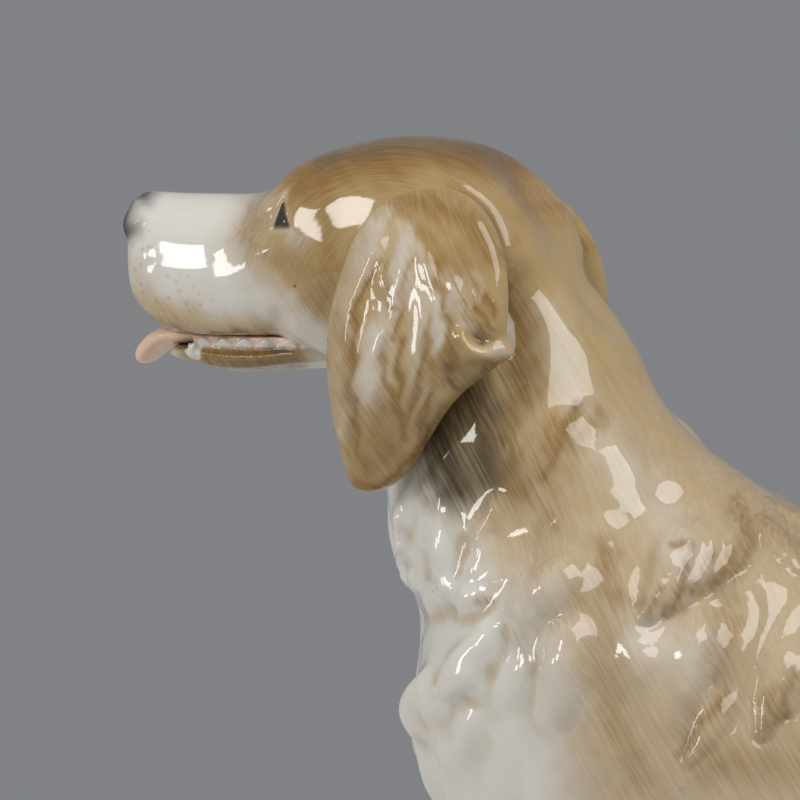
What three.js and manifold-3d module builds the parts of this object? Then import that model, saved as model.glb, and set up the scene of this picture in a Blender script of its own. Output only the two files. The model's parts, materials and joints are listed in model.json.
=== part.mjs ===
// A seated porcelain spaniel with its mouth open and its tongue out, built as the castings it is luted from.
// The trunk and the head are hollow castings that meet rim to rim at the neck. The ears, lower jaw, tongue,
// legs and tail are cast solid and luted on. Every joint keeps a thin seam for the luting slip.
// Millimetres, +Z up. The dog looks along -X and its left side is -Y.
import * as THREE from "three";
import { LoftGeometry } from "three/addons/geometries/LoftGeometry.js";
import { mergeVertices } from "three/addons/utils/BufferGeometryUtils.js";
import Module from "manifold-3d";

const wasm = await Module();
wasm.setup();

// Body sizes
const WITHERS_HEIGHT = 150; // ground to the top of the shoulders
const BODY_LENGTH = 116; // front of the chest to the back of the rump
const CHEST_WIDTH = 77;
const NECK_RISE = 55; // crown of the head above the withers
const NECK_REACH = 31; // back of the skull behind the front of the chest

// Head sizes
const HEAD_LENGTH = 77; // nose tip to the back of the skull
const HEAD_DEPTH = 37; // crown to chin
const SKULL_WIDTH = 40;
const EAR_LENGTH = 46.8;
const EAR_THICKNESS = 9.6;
const TONGUE_WIDTH = 13;

// Leg and tail sizes
const FORELEG_WIDTH = 20; // across the front paw
const THIGH_LENGTH = 76;
const THIGH_HEIGHT = 74;
const THIGH_THICKNESS = 34;
const HIND_FOOT_LENGTH = 84; // heel to toes
const HIND_PAW_WIDTH = 20;
const TAIL_WIDTH = 19;
const TAIL_HEIGHT = 17;

// Coat sizes
const TUFT_WIDTH = 9; // across a tuft of hair at its widest
const TUFT_HEIGHT = 2; // how far a tuft stands proud of the skin

// Casting details
const WALL = 4; // thickness of the hollow castings
const SEAM = 0.3; // luting slip between two castings
const VENT_DIAMETER = 8; // hole under the rump that lets the firing gases out

// Facets around each piece
const TRUNK_FACETS = 32;
const HEAD_FACETS = 28;
const CAVITY_FACETS = 18;
const LIMB_FACETS = 16;
const SMALL_FACETS = 12;

const CROWN_HEIGHT = WITHERS_HEIGHT + NECK_RISE;
const HALF_CHEST = CHEST_WIDTH / 2;
const HALF_SKULL = SKULL_WIDTH / 2;

// The body frame: along runs from the chest to the rump, up from the ground to the withers.
const bodyX = (along) => BODY_LENGTH * along;
const bodyZ = (up) => WITHERS_HEIGHT * up;

// The head frame: forward runs from the back of the skull to the nose tip, down from the crown to the chin.
const headX = (forward) => NECK_REACH - HEAD_LENGTH * forward;
const headZ = (down) => CROWN_HEIGHT - HEAD_DEPTH * down;

// Smooth values between the rows of a table, one spline for each column. Row numbers run from 0.
function spline(rows) {
  const stations = rows.map((row, i) => i);
  const curve = new THREE.CubicInterpolant(stations, rows.flat(), rows[0].length);
  return (station) => Array.from(curve.evaluate(station));
}

// Evenly spaced stations from the first to the last.
function steps(first, last, count) {
  return Array.from({ length: count + 1 }, (_, i) => THREE.MathUtils.lerp(first, last, i / count));
}

// An oval ring about a centre. It runs counterclockwise from the half axis a towards the half axis b.
function oval(centre, a, b, facets) {
  return Array.from({ length: facets }, (_, i) => {
    const angle = (i / facets) * 2 * Math.PI;
    return centre.clone().addScaledVector(a, Math.cos(angle)).addScaledVector(b, Math.sin(angle));
  });
}

// A closed three.js geometry as a solid that can be joined and cut.
function solidFrom(geometry) {
  const plain = new THREE.BufferGeometry().copy(geometry);
  plain.deleteAttribute("normal");
  plain.deleteAttribute("uv");
  const merged = mergeVertices(plain);
  return new wasm.Manifold(
    new wasm.Mesh({
      numProp: 3,
      vertProperties: new Float32Array(merged.attributes.position.array),
      triVerts: new Uint32Array(merged.index.array),
    }),
  );
}

// The solid skinned over a row of rings, closed at both ends.
function loft(rings) {
  return solidFrom(new LoftGeometry(rings, { capStart: true, capEnd: true }));
}

// An egg-shaped solid with three half axes, tilted about Y.
function ellipsoid(centre, halves, tilt, facets) {
  const geometry = new THREE.SphereGeometry(1, facets, facets / 2);
  geometry.scale(halves.x, halves.y, halves.z);
  geometry.rotateY(tilt);
  geometry.translate(centre.x, centre.y, centre.z);
  return solidFrom(geometry);
}

// What stands above a level plane.
function above(solid, level) {
  return solid.trimByPlane([0, 0, 1], level);
}

// Neck and trunk. Each row has the back's and the underside's points in the middle plane and the half width.
const NECK_ROWS = [
  [0.195, 0.243, 0.532, 0.838, 0.62],
  [0.073, 0.278, 0.506, 0.973, 0.8],
  [-0.058, 0.632, 0.448, 1.216, 0.95],
].map(([f1, d1, f2, d2, w]) => [headX(f1), headZ(d1), headX(f2), headZ(d2), HALF_SKULL * w]);
const TRUNK_ROWS = [
  [0.359, 1.109, 0.003, 1.0, 0.61],
  [0.417, 1.052, 0.018, 0.933, 0.714],
  [0.505, 1.006, 0.058, 0.867, 0.818],
  [0.564, 0.978, 0.058, 0.8, 0.896],
  [0.655, 0.933, 0.046, 0.733, 0.961],
  [0.741, 0.867, 0.092, 0.66, 1.0],
  [0.819, 0.787, 0.129, 0.58, 1.0],
  [0.897, 0.667, 0.216, 0.5, 0.987],
  [0.957, 0.533, 0.319, 0.407, 0.987],
  [0.991, 0.4, 0.405, 0.3, 0.987],
  [1.0, 0.28, 0.474, 0.193, 0.961],
  [0.983, 0.16, 0.526, 0.087, 0.909],
  [0.948, 0.04, 0.569, 0.013, 0.831],
  [0.914, -0.02, 0.586, -0.02, 0.78],
].map(([a1, u1, a2, u2, w]) => [bodyX(a1), bodyZ(u1), bodyX(a2), bodyZ(u2), HALF_CHEST * w]);
const BODY_ROWS = [...NECK_ROWS, ...TRUNK_ROWS];
const NECK_SEAM_ROW = 2.5; // where the head's rim meets the trunk's rim
const LAST_ROW = BODY_ROWS.length - 1;
const bodyAt = spline(BODY_ROWS);

// The oval of the neck or trunk at a row, grown outwards: its centre and half axes to the back and the left.
function bodyOval(station, grow) {
  const [backX, backZ, frontX, frontZ, half] = bodyAt(station);
  const back = new THREE.Vector3(backX, 0, backZ);
  const front = new THREE.Vector3(frontX, 0, frontZ);
  const centre = back.clone().add(front).multiplyScalar(0.5);
  const reach = back.clone().sub(centre);
  reach.setLength(reach.length() + grow);
  return [centre, reach, new THREE.Vector3(0, -half - grow, 0)];
}

// A stretch of the neck and trunk between two rows, grown outwards all round.
function bodyStretch(first, last, count, grow, facets) {
  return loft(steps(first, last, count).map((station) => oval(...bodyOval(station, grow), facets)));
}

// How far along the rows the two rims stand apart, half the seam each way.
function seamRows() {
  const halfRow = 0.5;
  const [x1, z1, x2, z2] = bodyAt(NECK_SEAM_ROW - halfRow);
  const [x3, z3, x4, z4] = bodyAt(NECK_SEAM_ROW + halfRow);
  const shortest = Math.min(Math.hypot(x3 - x1, z3 - z1), Math.hypot(x4 - x2, z4 - z2));
  return SEAM / shortest / 2;
}
const HALF_SEAM_ROWS = seamRows();

// Head. Each row has the forward place, the top, the bottom and the half widths high, halfway and low.
const HEAD_ROWS = [
  [0.978, 0.29, 0.62, 0.2, 0.26, 0.18],
  [0.966, 0.262, 0.715, 0.34, 0.42, 0.37],
  [0.94, 0.255, 0.79, 0.38, 0.52, 0.5],
  [0.897, 0.258, 0.842, 0.39, 0.6, 0.56],
  [0.836, 0.26, 0.872, 0.4, 0.64, 0.6],
  [0.758, 0.26, 0.885, 0.43, 0.67, 0.61],
  [0.69, 0.25, 0.885, 0.48, 0.7, 0.61],
  [0.644, 0.215, 0.885, 0.57, 0.75, 0.63],
  [0.603, 0.13, 0.905, 0.64, 0.81, 0.65],
  [0.556, 0.08, 0.935, 0.725, 0.87, 0.7],
  [0.488, 0.035, 0.986, 0.775, 0.94, 0.7],
  [0.403, 0.0, 1.014, 0.8, 0.99, 0.7],
  [0.312, 0.0, 1.0, 0.79, 1.0, 0.75],
  [0.221, 0.032, 0.946, 0.74, 0.975, 0.8],
  [0.13, 0.119, 0.838, 0.625, 0.9, 0.775],
  [0.052, 0.257, 0.703, 0.475, 0.725, 0.65],
  [0.0, 0.405, 0.58, 0.2, 0.35, 0.25],
].map(([f, top, bottom, ...w]) => [headX(f), headZ(top), headZ(bottom), ...w.map((k) => HALF_SKULL * k)]);
const headAt = spline(HEAD_ROWS);
const HEAD_LAST_ROW = HEAD_ROWS.length - 1;
const HIGH_SHARE = 0.12; // how far down a head section its upper width is taken
const LOW_SHARE = 0.88;

// The skull and muzzle between two rows, grown outwards all round.
function skull(first, last, count, grow, facets) {
  const rings = steps(first, last, count).map((station) => {
    const [x, top, bottom, high, middle, low] = headAt(station);
    const swell = THREE.MathUtils.lerp(-grow, grow, station / HEAD_LAST_ROW);
    const ceiling = top + grow;
    const floor = bottom - grow;
    const level = (share) => THREE.MathUtils.lerp(ceiling, floor, share);
    const half = [
      [high + grow, level(HIGH_SHARE)],
      [middle + grow, level(0.5)],
      [low + grow, level(LOW_SHARE)],
    ];
    const outline = [
      [0, ceiling],
      ...half.map(([y, z]) => [-y, z]),
      [0, floor],
      ...half.reverse(),
    ].map(([y, z]) => new THREE.Vector3(x + swell, y, z));
    const section = new THREE.CatmullRomCurve3(outline, true, "catmullrom", 0.5);
    return Array.from({ length: facets }, (_, i) => section.getPoint(i / facets));
  });
  return loft(rings);
}

// The hollow of the mouth under the palate, where the tongue lies.
const MOUTH_FORWARD = 0.76;
const MOUTH_DOWN = 0.89;
const MOUTH_HALF_LENGTH = 12;
const MOUTH_HALF_WIDTH = 9;
const MOUTH_HALF_HEIGHT = 3.6;

function mouthHollow(grow) {
  const centre = new THREE.Vector3(headX(MOUTH_FORWARD), 0, headZ(MOUTH_DOWN));
  const halves = new THREE.Vector3(MOUTH_HALF_LENGTH, MOUTH_HALF_WIDTH, MOUTH_HALF_HEIGHT);
  return ellipsoid(centre, halves.addScalar(grow), 0, SMALL_FACETS * 2);
}

// Nose pad and eyeballs, cast in one with the head. Each has its place in the head frame and its half sizes.
const NOSE = { forward: 0.94, down: 0.35, out: 0, halves: new THREE.Vector3(3.2, 6.4, 3.7) };
const EYE = { forward: 0.596, down: 0.318, out: 12.9, halves: new THREE.Vector3(3.4, 3.4, 3.4) };

function bump({ forward, down, out, halves }, side) {
  const centre = new THREE.Vector3(headX(forward), side * out, headZ(down));
  return ellipsoid(centre, halves, 0, SMALL_FACETS);
}

// The head's outside: skull, muzzle, nose, eyes and the neck down to the seam.
function headOutside(grow) {
  const neck = bodyStretch(0, NECK_SEAM_ROW - HALF_SEAM_ROWS, 5, grow, HEAD_FACETS);
  const face = skull(0, HEAD_LAST_ROW, 26, grow, HEAD_FACETS).add(bump(NOSE, 1));
  return face.add(bump(EYE, 1)).add(bump(EYE, -1)).add(neck).subtract(mouthHollow(0));
}

// Tufts of the left side's coat, each from its root to its tip. Both ends have the body row and the angle in
// degrees round the body from the back. The last two numbers are shares of a tuft's width and height.
const SHOULDER_TUFTS = [
  [3.4, 22, 4.3, 52, 0.7, 0.5],
  [3.9, 22, 4.8, 56, 0.7, 0.6],
  [4.9, 34, 6.8, 64, 0.8, 1.0],
  [5.0, 27, 6.7, 55, 0.8, 1.0],
  [5.1, 18, 6.6, 44, 0.8, 0.8],
  [6.4, 58, 7.6, 78, 0.9, 0.7],
  [6.5, 46, 7.9, 70, 0.9, 0.8],
  [6.6, 36, 8.0, 60, 0.9, 0.7],
  [6.8, 18, 8.6, 60, 0.9, 0.9],
  [7.2, 14, 8.4, 50, 0.8, 0.8],
  [8.0, 58, 8.8, 80, 0.8, 0.8],
];
const CHEST_TUFTS = [
  [3.1, 128, 4.1, 141, 0.7, 0.6],
  [4.2, 132, 5.2, 140, 0.7, 0.5],
  [3.6, 108, 4.7, 122, 0.7, 0.5],
  [3.8, 84, 4.5, 104, 0.7, 0.5],
  [5.1, 72, 6.0, 90, 1.1, 0.9],
  [5.8, 106, 6.7, 124, 1.0, 0.9],
  [5.9, 132, 7.1, 152, 1.0, 1.0],
  [6.4, 84, 7.6, 94, 0.9, 0.6],
  [6.8, 110, 7.8, 130, 0.9, 0.7],
  [7.0, 150, 8.2, 164, 1.0, 0.7],
  [7.4, 84, 8.5, 96, 0.9, 0.5],
  [7.6, 100, 8.6, 114, 0.9, 0.5],
];
// Tufts in tiers below: the row of the roots, the first and the last angle from the back and the count.
const TUFT_TIERS = [
  [8.8, 16, 36, 2],
  [9.2, 70, 90, 2],
  [9.8, 24, 60, 3],
  [10.9, 14, 40, 3],
  [12.0, 22, 36, 2],
  [13.1, 14, 30, 2],
];
const TIER_DROP = 1.3; // rows from root to tip
const TIER_SWEEP = 8; // degrees from root to tip
const TIER_SHARE = 0.9; // a tier's tufts against the full width and height

function tierTufts([row, first, last, count]) {
  return steps(first, last, count - 1).map((angle) => {
    return [row, angle, row + TIER_DROP, angle + TIER_SWEEP, TIER_SHARE, TIER_SHARE];
  });
}
const TUFTS = [...SHOULDER_TUFTS, ...CHEST_TUFTS, ...TUFT_TIERS.flatMap(tierTufts)];

// A tuft from root to tip: shares of its half width and height, and how far its middle stands out.
const TUFT_ROWS = [
  [0.5, 0.6, -0.9],
  [1.0, 1.1, -0.4],
  [0.95, 1.1, 0.0],
  [0.25, 0.7, -0.1],
];
const TUFT_FACETS = 4;
const tuftAt = spline(TUFT_ROWS);

// A point on the body's skin at a row and an angle round it from the back.
function skinPoint(station, angle) {
  const [centre, reach, side] = bodyOval(station, 0);
  return centre.addScaledVector(reach, Math.cos(angle)).addScaledVector(side, Math.sin(angle));
}

// The way out of the skin there.
function skinNormal(station, angle) {
  const probe = 0.02;
  const round = skinPoint(station, angle + probe).sub(skinPoint(station, angle - probe));
  const down = skinPoint(station + probe, angle).sub(skinPoint(station - probe, angle));
  return round.cross(down).normalize();
}

// One tuft on the left side, grown outwards all round.
function tuft([row1, angle1, row2, angle2, wide, high], grow) {
  const place = (share) => [
    THREE.MathUtils.lerp(row1, row2, share),
    THREE.MathUtils.degToRad(THREE.MathUtils.lerp(angle1, angle2, share)),
  ];
  const way = skinPoint(...place(1)).sub(skinPoint(...place(0))).normalize();
  const rings = steps(0, 1, TUFT_ROWS.length - 1).map((share) => {
    const [width, height, out] = tuftAt(share * (TUFT_ROWS.length - 1));
    const normal = skinNormal(...place(share));
    const across = way.clone().cross(normal).setLength((TUFT_WIDTH / 2) * wide * width + grow);
    const centre = skinPoint(...place(share)).addScaledVector(normal, TUFT_HEIGHT * high * out);
    centre.addScaledVector(way, THREE.MathUtils.lerp(-grow, grow, share));
    return oval(centre, normal.setLength(TUFT_HEIGHT * high * height + grow), across, TUFT_FACETS);
  });
  return new LoftGeometry(rings, { capStart: true, capEnd: true });
}

// The same geometry on the other side of the middle plane, with its faces turned out again.
function otherSide(geometry) {
  const mirror = new THREE.BufferGeometry().copy(geometry).scale(1, -1, 1);
  mirror.index.array.reverse();
  return mirror;
}

// The trunk's outside with its tufts from the seam to the ground.
function trunkOutside(grow) {
  const stretch = bodyStretch(NECK_SEAM_ROW + HALF_SEAM_ROWS, LAST_ROW, 24, grow, TRUNK_FACETS);
  const left = TUFTS.map((row) => tuft(row, grow));
  const tufts = [...left, ...left.map(otherSide)].map(solidFrom);
  return above(wasm.Manifold.union([stretch, ...tufts]), -grow);
}

// Where the neck's own hollow starts in the head and ends in the trunk, in rows past the seam.
const RIM_OVERLAP_ROWS = 0.4;
const SKULL_HOLLOW_ROW = 0.8;

function makeHead() {
  const skullHollow = skull(2, HEAD_LAST_ROW - 1, 13, -WALL, CAVITY_FACETS);
  const neckHollow = bodyStretch(SKULL_HOLLOW_ROW, NECK_SEAM_ROW + RIM_OVERLAP_ROWS, 4, -WALL, CAVITY_FACETS);
  return headOutside(0).subtract(skullHollow.subtract(mouthHollow(WALL)).add(neckHollow));
}

// The vent stands on the middle line under the rump.
const VENT_ALONG = 0.79;

function makeTrunk() {
  const hollow = bodyStretch(NECK_SEAM_ROW - RIM_OVERLAP_ROWS, LAST_ROW, 16, -WALL, CAVITY_FACETS);
  const vent = new THREE.CylinderGeometry(VENT_DIAMETER / 2, VENT_DIAMETER / 2, WALL * 4, SMALL_FACETS);
  vent.rotateX(Math.PI / 2);
  vent.translate(bodyX(VENT_ALONG), 0, 0);
  return trunkOutside(0).subtract(above(hollow, WALL)).subtract(solidFrom(vent));
}

// Ear. Each row has the share of its length, its front and rear edges, its outward place and its thickness.
const EAR_TOP_DOWN = 0.203;
const EAR_ROWS = [
  [0.0, 0.286, 0.195, 0.85, 0.42],
  [0.052, 0.351, 0.13, 0.925, 0.62],
  [0.135, 0.383, 0.088, 1.025, 0.75],
  [0.239, 0.403, 0.06, 1.115, 0.88],
  [0.363, 0.423, 0.048, 1.19, 0.96],
  [0.488, 0.431, 0.05, 1.24, 1.0],
  [0.555, 0.43, 0.046, 1.255, 1.0],
  [0.625, 0.428, 0.112, 1.26, 0.98],
  [0.71, 0.42, 0.168, 1.25, 0.94],
  [0.82, 0.41, 0.215, 1.21, 0.86],
  [0.93, 0.397, 0.262, 1.16, 0.75],
  [1.0, 0.372, 0.32, 1.13, 0.5],
].map(([share, front, rear, out, thick]) => [
  headZ(EAR_TOP_DOWN) - EAR_LENGTH * share,
  headX(front),
  headX(rear),
  HALF_SKULL * out,
  (EAR_THICKNESS / 2) * thick,
]);

// A limb or flap whose rings lie level. Each row has the height, front, rear, outward place and half width.
function levelLoft(rows, count, facets) {
  const at = spline(rows);
  const rings = steps(0, rows.length - 1, count).map((station) => {
    const [z, front, rear, out, half] = at(station);
    const centre = new THREE.Vector3((front + rear) / 2, -out, z);
    return oval(centre, new THREE.Vector3((rear - front) / 2, 0, 0), new THREE.Vector3(0, -half, 0), facets);
  });
  return loft(rings);
}

function makeEar(headCutter, trunkCutter) {
  return levelLoft(EAR_ROWS, 18, LIMB_FACETS).subtract(headCutter).subtract(trunkCutter);
}

// A piece whose rings stand across the middle plane, grown outwards all round. Each row has its top point,
// its bottom point and its half width.
function crossLoft(rows, count, facets, grow) {
  const at = spline(rows);
  const rings = steps(0, rows.length - 1, count).map((station) => {
    const [topX, topZ, bottomX, bottomZ, half] = at(station);
    const centre = new THREE.Vector3((topX + bottomX) / 2, 0, (topZ + bottomZ) / 2);
    const reach = new THREE.Vector3(topX, 0, topZ).sub(centre);
    reach.setLength(reach.length() + grow);
    return oval(centre, reach, new THREE.Vector3(0, -half - grow, 0), facets);
  });
  return loft(rings);
}

// Lower jaw. Each row has the forward place, the lip line, the underside and the half width.
const JAW_ROWS = [
  [0.862, 0.92, 0.965, 0.15],
  [0.845, 0.908, 0.995, 0.3],
  [0.8, 0.91, 1.015, 0.44],
  [0.74, 0.918, 1.025, 0.515],
  [0.675, 0.922, 1.02, 0.56],
  [0.61, 0.922, 1.008, 0.59],
  [0.558, 0.93, 1.0, 0.6],
  [0.48, 0.95, 0.99, 0.45],
].map(([f, top, bottom, w]) => [headX(f), headZ(top), headX(f), headZ(bottom), HALF_SKULL * w]);

function jawOutside(grow) {
  return crossLoft(JAW_ROWS, 12, SMALL_FACETS, grow);
}

// Tongue, from its hanging tip over the chin to its root in the mouth.
const TONGUE_ROWS = [
  [0.968, 0.986, 0.96, 0.989, 0.1],
  [0.972, 0.972, 0.95, 0.985, 0.4],
  [0.965, 0.93, 0.932, 0.962, 0.66],
  [0.935, 0.868, 0.906, 0.92, 0.82],
  [0.896, 0.84, 0.88, 0.897, 0.92],
  [0.844, 0.83, 0.839, 0.895, 0.98],
  [0.766, 0.825, 0.766, 0.902, 1.0],
  [0.675, 0.845, 0.675, 0.906, 0.92],
].map(([f1, d1, f2, d2, w]) => [headX(f1), headZ(d1), headX(f2), headZ(d2), (TONGUE_WIDTH / 2) * w]);

function makeTongue(headCutter, jawCutter) {
  return crossLoft(TONGUE_ROWS, 12, SMALL_FACETS, 0).subtract(headCutter).subtract(jawCutter);
}

// Foreleg, from inside the chest down to the paw. Its rows use the body frame.
const FORELEG_ROWS = [
  [0.69, 0.2, 0.34, 0.5, 0.8],
  [0.62, 0.145, 0.4, 0.52, 1.2],
  [0.54, 0.11, 0.4, 0.53, 1.3],
  [0.46, 0.1, 0.37, 0.52, 1.2],
  [0.367, 0.1, 0.31, 0.494, 1.0],
  [0.267, 0.105, 0.265, 0.473, 0.88],
  [0.173, 0.108, 0.246, 0.462, 0.8],
  [0.107, 0.09, 0.237, 0.462, 0.84],
  [0.067, 0.034, 0.237, 0.468, 0.94],
  [0.033, -0.004, 0.241, 0.468, 1.0],
  [0.008, -0.004, 0.237, 0.468, 0.96],
  [-0.013, 0.004, 0.233, 0.468, 0.9],
].map(([up, front, rear, out, w]) => [
  bodyZ(up),
  bodyX(front),
  bodyX(rear),
  HALF_CHEST * out,
  (FORELEG_WIDTH / 2) * w,
]);

function makeForeleg(trunkCutter) {
  return above(levelLoft(FORELEG_ROWS, 18, LIMB_FACETS), 0).subtract(trunkCutter);
}

// Hind leg: the folded thigh, the knee and the foot flat on the ground.
const THIGH_ALONG = 0.68;
const THIGH_UP = 0.265;
const THIGH_OUT = 0.87; // from the middle plane, in half chest widths
const THIGH_TILT = 0.32; // the front end stands higher
const KNEE_ALONG = 0.49;
const KNEE_UP = 0.29;
const KNEE_SHARE = 0.7; // the knee's size against the thigh's
const FOOT_OUT = 1.02;
const HEEL_ALONG = 0.905;
const FOOT_MIDDLE = 0.35; // how high a foot section is widest
// Each row has the share of the foot's length from heel to toes, the top in paw widths and the half width.
const FOOT_ROWS = [
  [0.0, 0.3, 0.4],
  [0.05, 0.55, 0.66],
  [0.2, 0.72, 0.78],
  [0.45, 0.66, 0.76],
  [0.64, 0.6, 0.8],
  [0.78, 0.66, 0.98],
  [0.9, 0.58, 1.0],
  [0.97, 0.4, 0.8],
  [1.0, 0.22, 0.45],
];

function hindFoot() {
  const at = spline(FOOT_ROWS);
  const rings = steps(0, FOOT_ROWS.length - 1, 13).map((station) => {
    const [share, top, width] = at(station);
    const height = HIND_PAW_WIDTH * top;
    const x = bodyX(HEEL_ALONG) - HIND_FOOT_LENGTH * share;
    const centre = new THREE.Vector3(x, -HALF_CHEST * FOOT_OUT, height * FOOT_MIDDLE);
    const up = new THREE.Vector3(0, 0, height * (1 - FOOT_MIDDLE));
    return oval(centre, up, new THREE.Vector3(0, (HIND_PAW_WIDTH / 2) * width, 0), LIMB_FACETS);
  });
  return above(loft(rings), 0);
}

function makeHindLeg(trunkCutter) {
  const out = -HALF_CHEST * THIGH_OUT;
  const halves = new THREE.Vector3(THIGH_LENGTH, THIGH_THICKNESS, THIGH_HEIGHT).multiplyScalar(0.5);
  const hip = new THREE.Vector3(bodyX(THIGH_ALONG), out, bodyZ(THIGH_UP));
  const knee = new THREE.Vector3(bodyX(KNEE_ALONG), out, bodyZ(KNEE_UP));
  const thigh = ellipsoid(hip, halves, THIGH_TILT, LIMB_FACETS + 4);
  const shank = ellipsoid(knee, halves.clone().multiplyScalar(KNEE_SHARE), THIGH_TILT, LIMB_FACETS);
  return above(thigh.add(shank), 0).add(hindFoot()).subtract(trunkCutter);
}

// Tail, on the ground from the rump round the left haunch. Places are from the back of the rump.
const TAIL_PATH = [
  [-8, 0, 15],
  [10, -3, 10],
  [21, -15, 8],
  [23, -32, 7.5],
  [15, -48, 7],
  [2, -57, 6.5],
  [-13, -61, 5.5],
  [-25, -61.5, 4.5],
].map(([x, y, z]) => new THREE.Vector3(BODY_LENGTH + x, y, z));
// Width and height along the path, as shares of the tail's own.
const TAIL_ROWS = [
  [0.85, 0.95],
  [0.95, 1.0],
  [1.0, 1.0],
  [1.0, 0.95],
  [0.95, 0.88],
  [0.8, 0.78],
  [0.52, 0.6],
  [0.12, 0.2],
];

function makeTail(trunkCutter) {
  const path = new THREE.CatmullRomCurve3(TAIL_PATH);
  const girthAt = spline(TAIL_ROWS);
  const vertical = new THREE.Vector3(0, 0, 1);
  const rings = steps(0, 1, 18).map((share) => {
    const [width, height] = girthAt(share * (TAIL_ROWS.length - 1));
    const side = path.getTangent(share).cross(vertical).setLength((TAIL_WIDTH / 2) * width);
    const up = vertical.clone().setLength((TAIL_HEIGHT / 2) * height);
    return oval(path.getPoint(share), up, side, SMALL_FACETS);
  });
  return above(loft(rings), 0).subtract(trunkCutter);
}

// A solid's surface as a geometry to draw.
function geometryOf(solid) {
  const mesh = solid.getMesh();
  const geometry = new THREE.BufferGeometry();
  geometry.setAttribute("position", new THREE.BufferAttribute(mesh.vertProperties, 3));
  geometry.setIndex(new THREE.BufferAttribute(mesh.triVerts, 1));
  geometry.computeVertexNormals();
  return geometry;
}

// Glazed porcelain finishes
const glazed = (color) => new THREE.MeshStandardMaterial({ color, roughness: 0.12, metalness: 0 });
const TAN = glazed(0xa99168);
const WHITE = glazed(0xcbc5b9);
const PINK = glazed(0xc9a28c);

const dog = new THREE.Group();
dog.name = "porcelain_dog";

function place(name, solid, material, mirrored = false) {
  const mesh = new THREE.Mesh(geometryOf(solid), material);
  mesh.name = name;
  mesh.scale.y = mirrored ? -1 : 1;
  dog.add(mesh);
}

const headCutter = headOutside(SEAM);
const trunkCutter = trunkOutside(SEAM);
const ear = makeEar(headCutter, trunkCutter);
const jawCutter = jawOutside(SEAM);
const foreleg = makeForeleg(trunkCutter);
const hindLeg = makeHindLeg(trunkCutter);

place("trunk", makeTrunk(), TAN);
place("head", makeHead(), TAN);
place("left_ear", ear, TAN);
place("right_ear", ear, TAN, true);
place("lower_jaw", jawOutside(0).subtract(headCutter), WHITE);
place("tongue", makeTongue(headCutter, jawCutter), PINK);
place("left_foreleg", foreleg, WHITE);
place("right_foreleg", foreleg, WHITE, true);
place("left_hind_leg", hindLeg, TAN);
place("right_hind_leg", hindLeg, TAN, true);
place("tail", makeTail(trunkCutter), TAN);

// The origin is under the middle of the figure, on the ground.
const extent = new THREE.Box3().setFromObject(dog);
const middle = extent.getCenter(new THREE.Vector3());
dog.children.forEach((piece) => piece.position.set(-middle.x, -middle.y, -extent.min.z));

export default dog;
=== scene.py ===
"""A seated porcelain spaniel, with a modelled coat, brushed colours and a clear glaze on its castings."""

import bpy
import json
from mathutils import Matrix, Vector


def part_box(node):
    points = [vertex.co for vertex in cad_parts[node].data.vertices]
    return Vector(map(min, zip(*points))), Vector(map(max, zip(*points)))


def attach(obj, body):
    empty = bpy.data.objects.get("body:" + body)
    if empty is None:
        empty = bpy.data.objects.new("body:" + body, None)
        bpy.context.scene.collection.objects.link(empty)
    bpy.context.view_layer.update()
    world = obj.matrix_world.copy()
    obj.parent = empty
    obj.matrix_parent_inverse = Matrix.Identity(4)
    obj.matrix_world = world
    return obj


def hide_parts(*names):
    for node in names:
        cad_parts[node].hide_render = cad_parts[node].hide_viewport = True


bl_info = {
    "name": "Porcelain Spaniel",
    "version": (1, 0, 0),
    "blender": (4, 5, 0),
    "location": "View3D > Sidebar > Spaniel",
    "description": "Models, paints and glazes a seated porcelain spaniel over its castings",
    "category": "Object",
}

import json
import math
from collections import namedtuple

import bmesh
import bpy
import numpy as np
from bpy.props import FloatProperty, FloatVectorProperty, PointerProperty
from mathutils import Matrix, Vector
from mathutils.bvhtree import BVHTree

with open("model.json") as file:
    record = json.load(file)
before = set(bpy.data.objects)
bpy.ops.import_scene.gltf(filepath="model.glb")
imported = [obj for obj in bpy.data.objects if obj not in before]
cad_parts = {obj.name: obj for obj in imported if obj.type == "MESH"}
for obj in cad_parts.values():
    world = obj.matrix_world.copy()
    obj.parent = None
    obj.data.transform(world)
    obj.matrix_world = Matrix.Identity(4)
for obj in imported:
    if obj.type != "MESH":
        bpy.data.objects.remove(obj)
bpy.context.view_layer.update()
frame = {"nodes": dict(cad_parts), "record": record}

MM = 0.001
PICTURE = 800  # the picture's width and height in pixels
TRUNK_LOW, TRUNK_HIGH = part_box("trunk")
HEAD_LOW, HEAD_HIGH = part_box("head")
TAIL_LOW, TAIL_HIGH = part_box("tail")
JAW_LOW, JAW_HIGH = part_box("lower_jaw")
MIDDLE = (TRUNK_LOW.y + TRUNK_HIGH.y) / 2  # the plane that halves the dog
BODY_NODES = (
    "trunk",
    "head",
    "left_foreleg",
    "right_foreleg",
    "left_hind_leg",
    "right_hind_leg",
    "tail",
)
SLOT_OF = {item["node"]: item["material_slot"] for item in frame["record"]["subparts"]}

TINY = 1e-12  # keeps a division away from zero
TINY_STEP = 1e-18  # the same for the square of a step
FAINT = 1e-9  # a weight or a length too small to matter

# A lock of the coat: the picture's pixels, half its width and its height in mm
Lock = namedtuple("Lock", "pixels width height")
# A soft rise or hollow: pixels, radius and height in mm
Swell = namedtuple("Swell", "pixels radius height")
# A strand of an ear: pixels from root to tip, and half its width in pixels
Strand = namedtuple("Strand", "pixels radius")
# A brush dab: pixels, radius in pixels and strength
Dab = namedtuple("Dab", "pixels radius amount")
# How a loose hand rocks: radians a pixel, and how far the slow wave bends
Waves = namedtuple("Waves", "slow bend bend_pace quick lean")
# A scatter of spots: cells a metre, radius in cells and share of the cells that have one
Scatter = namedtuple("Scatter", "scale radius share")
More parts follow.
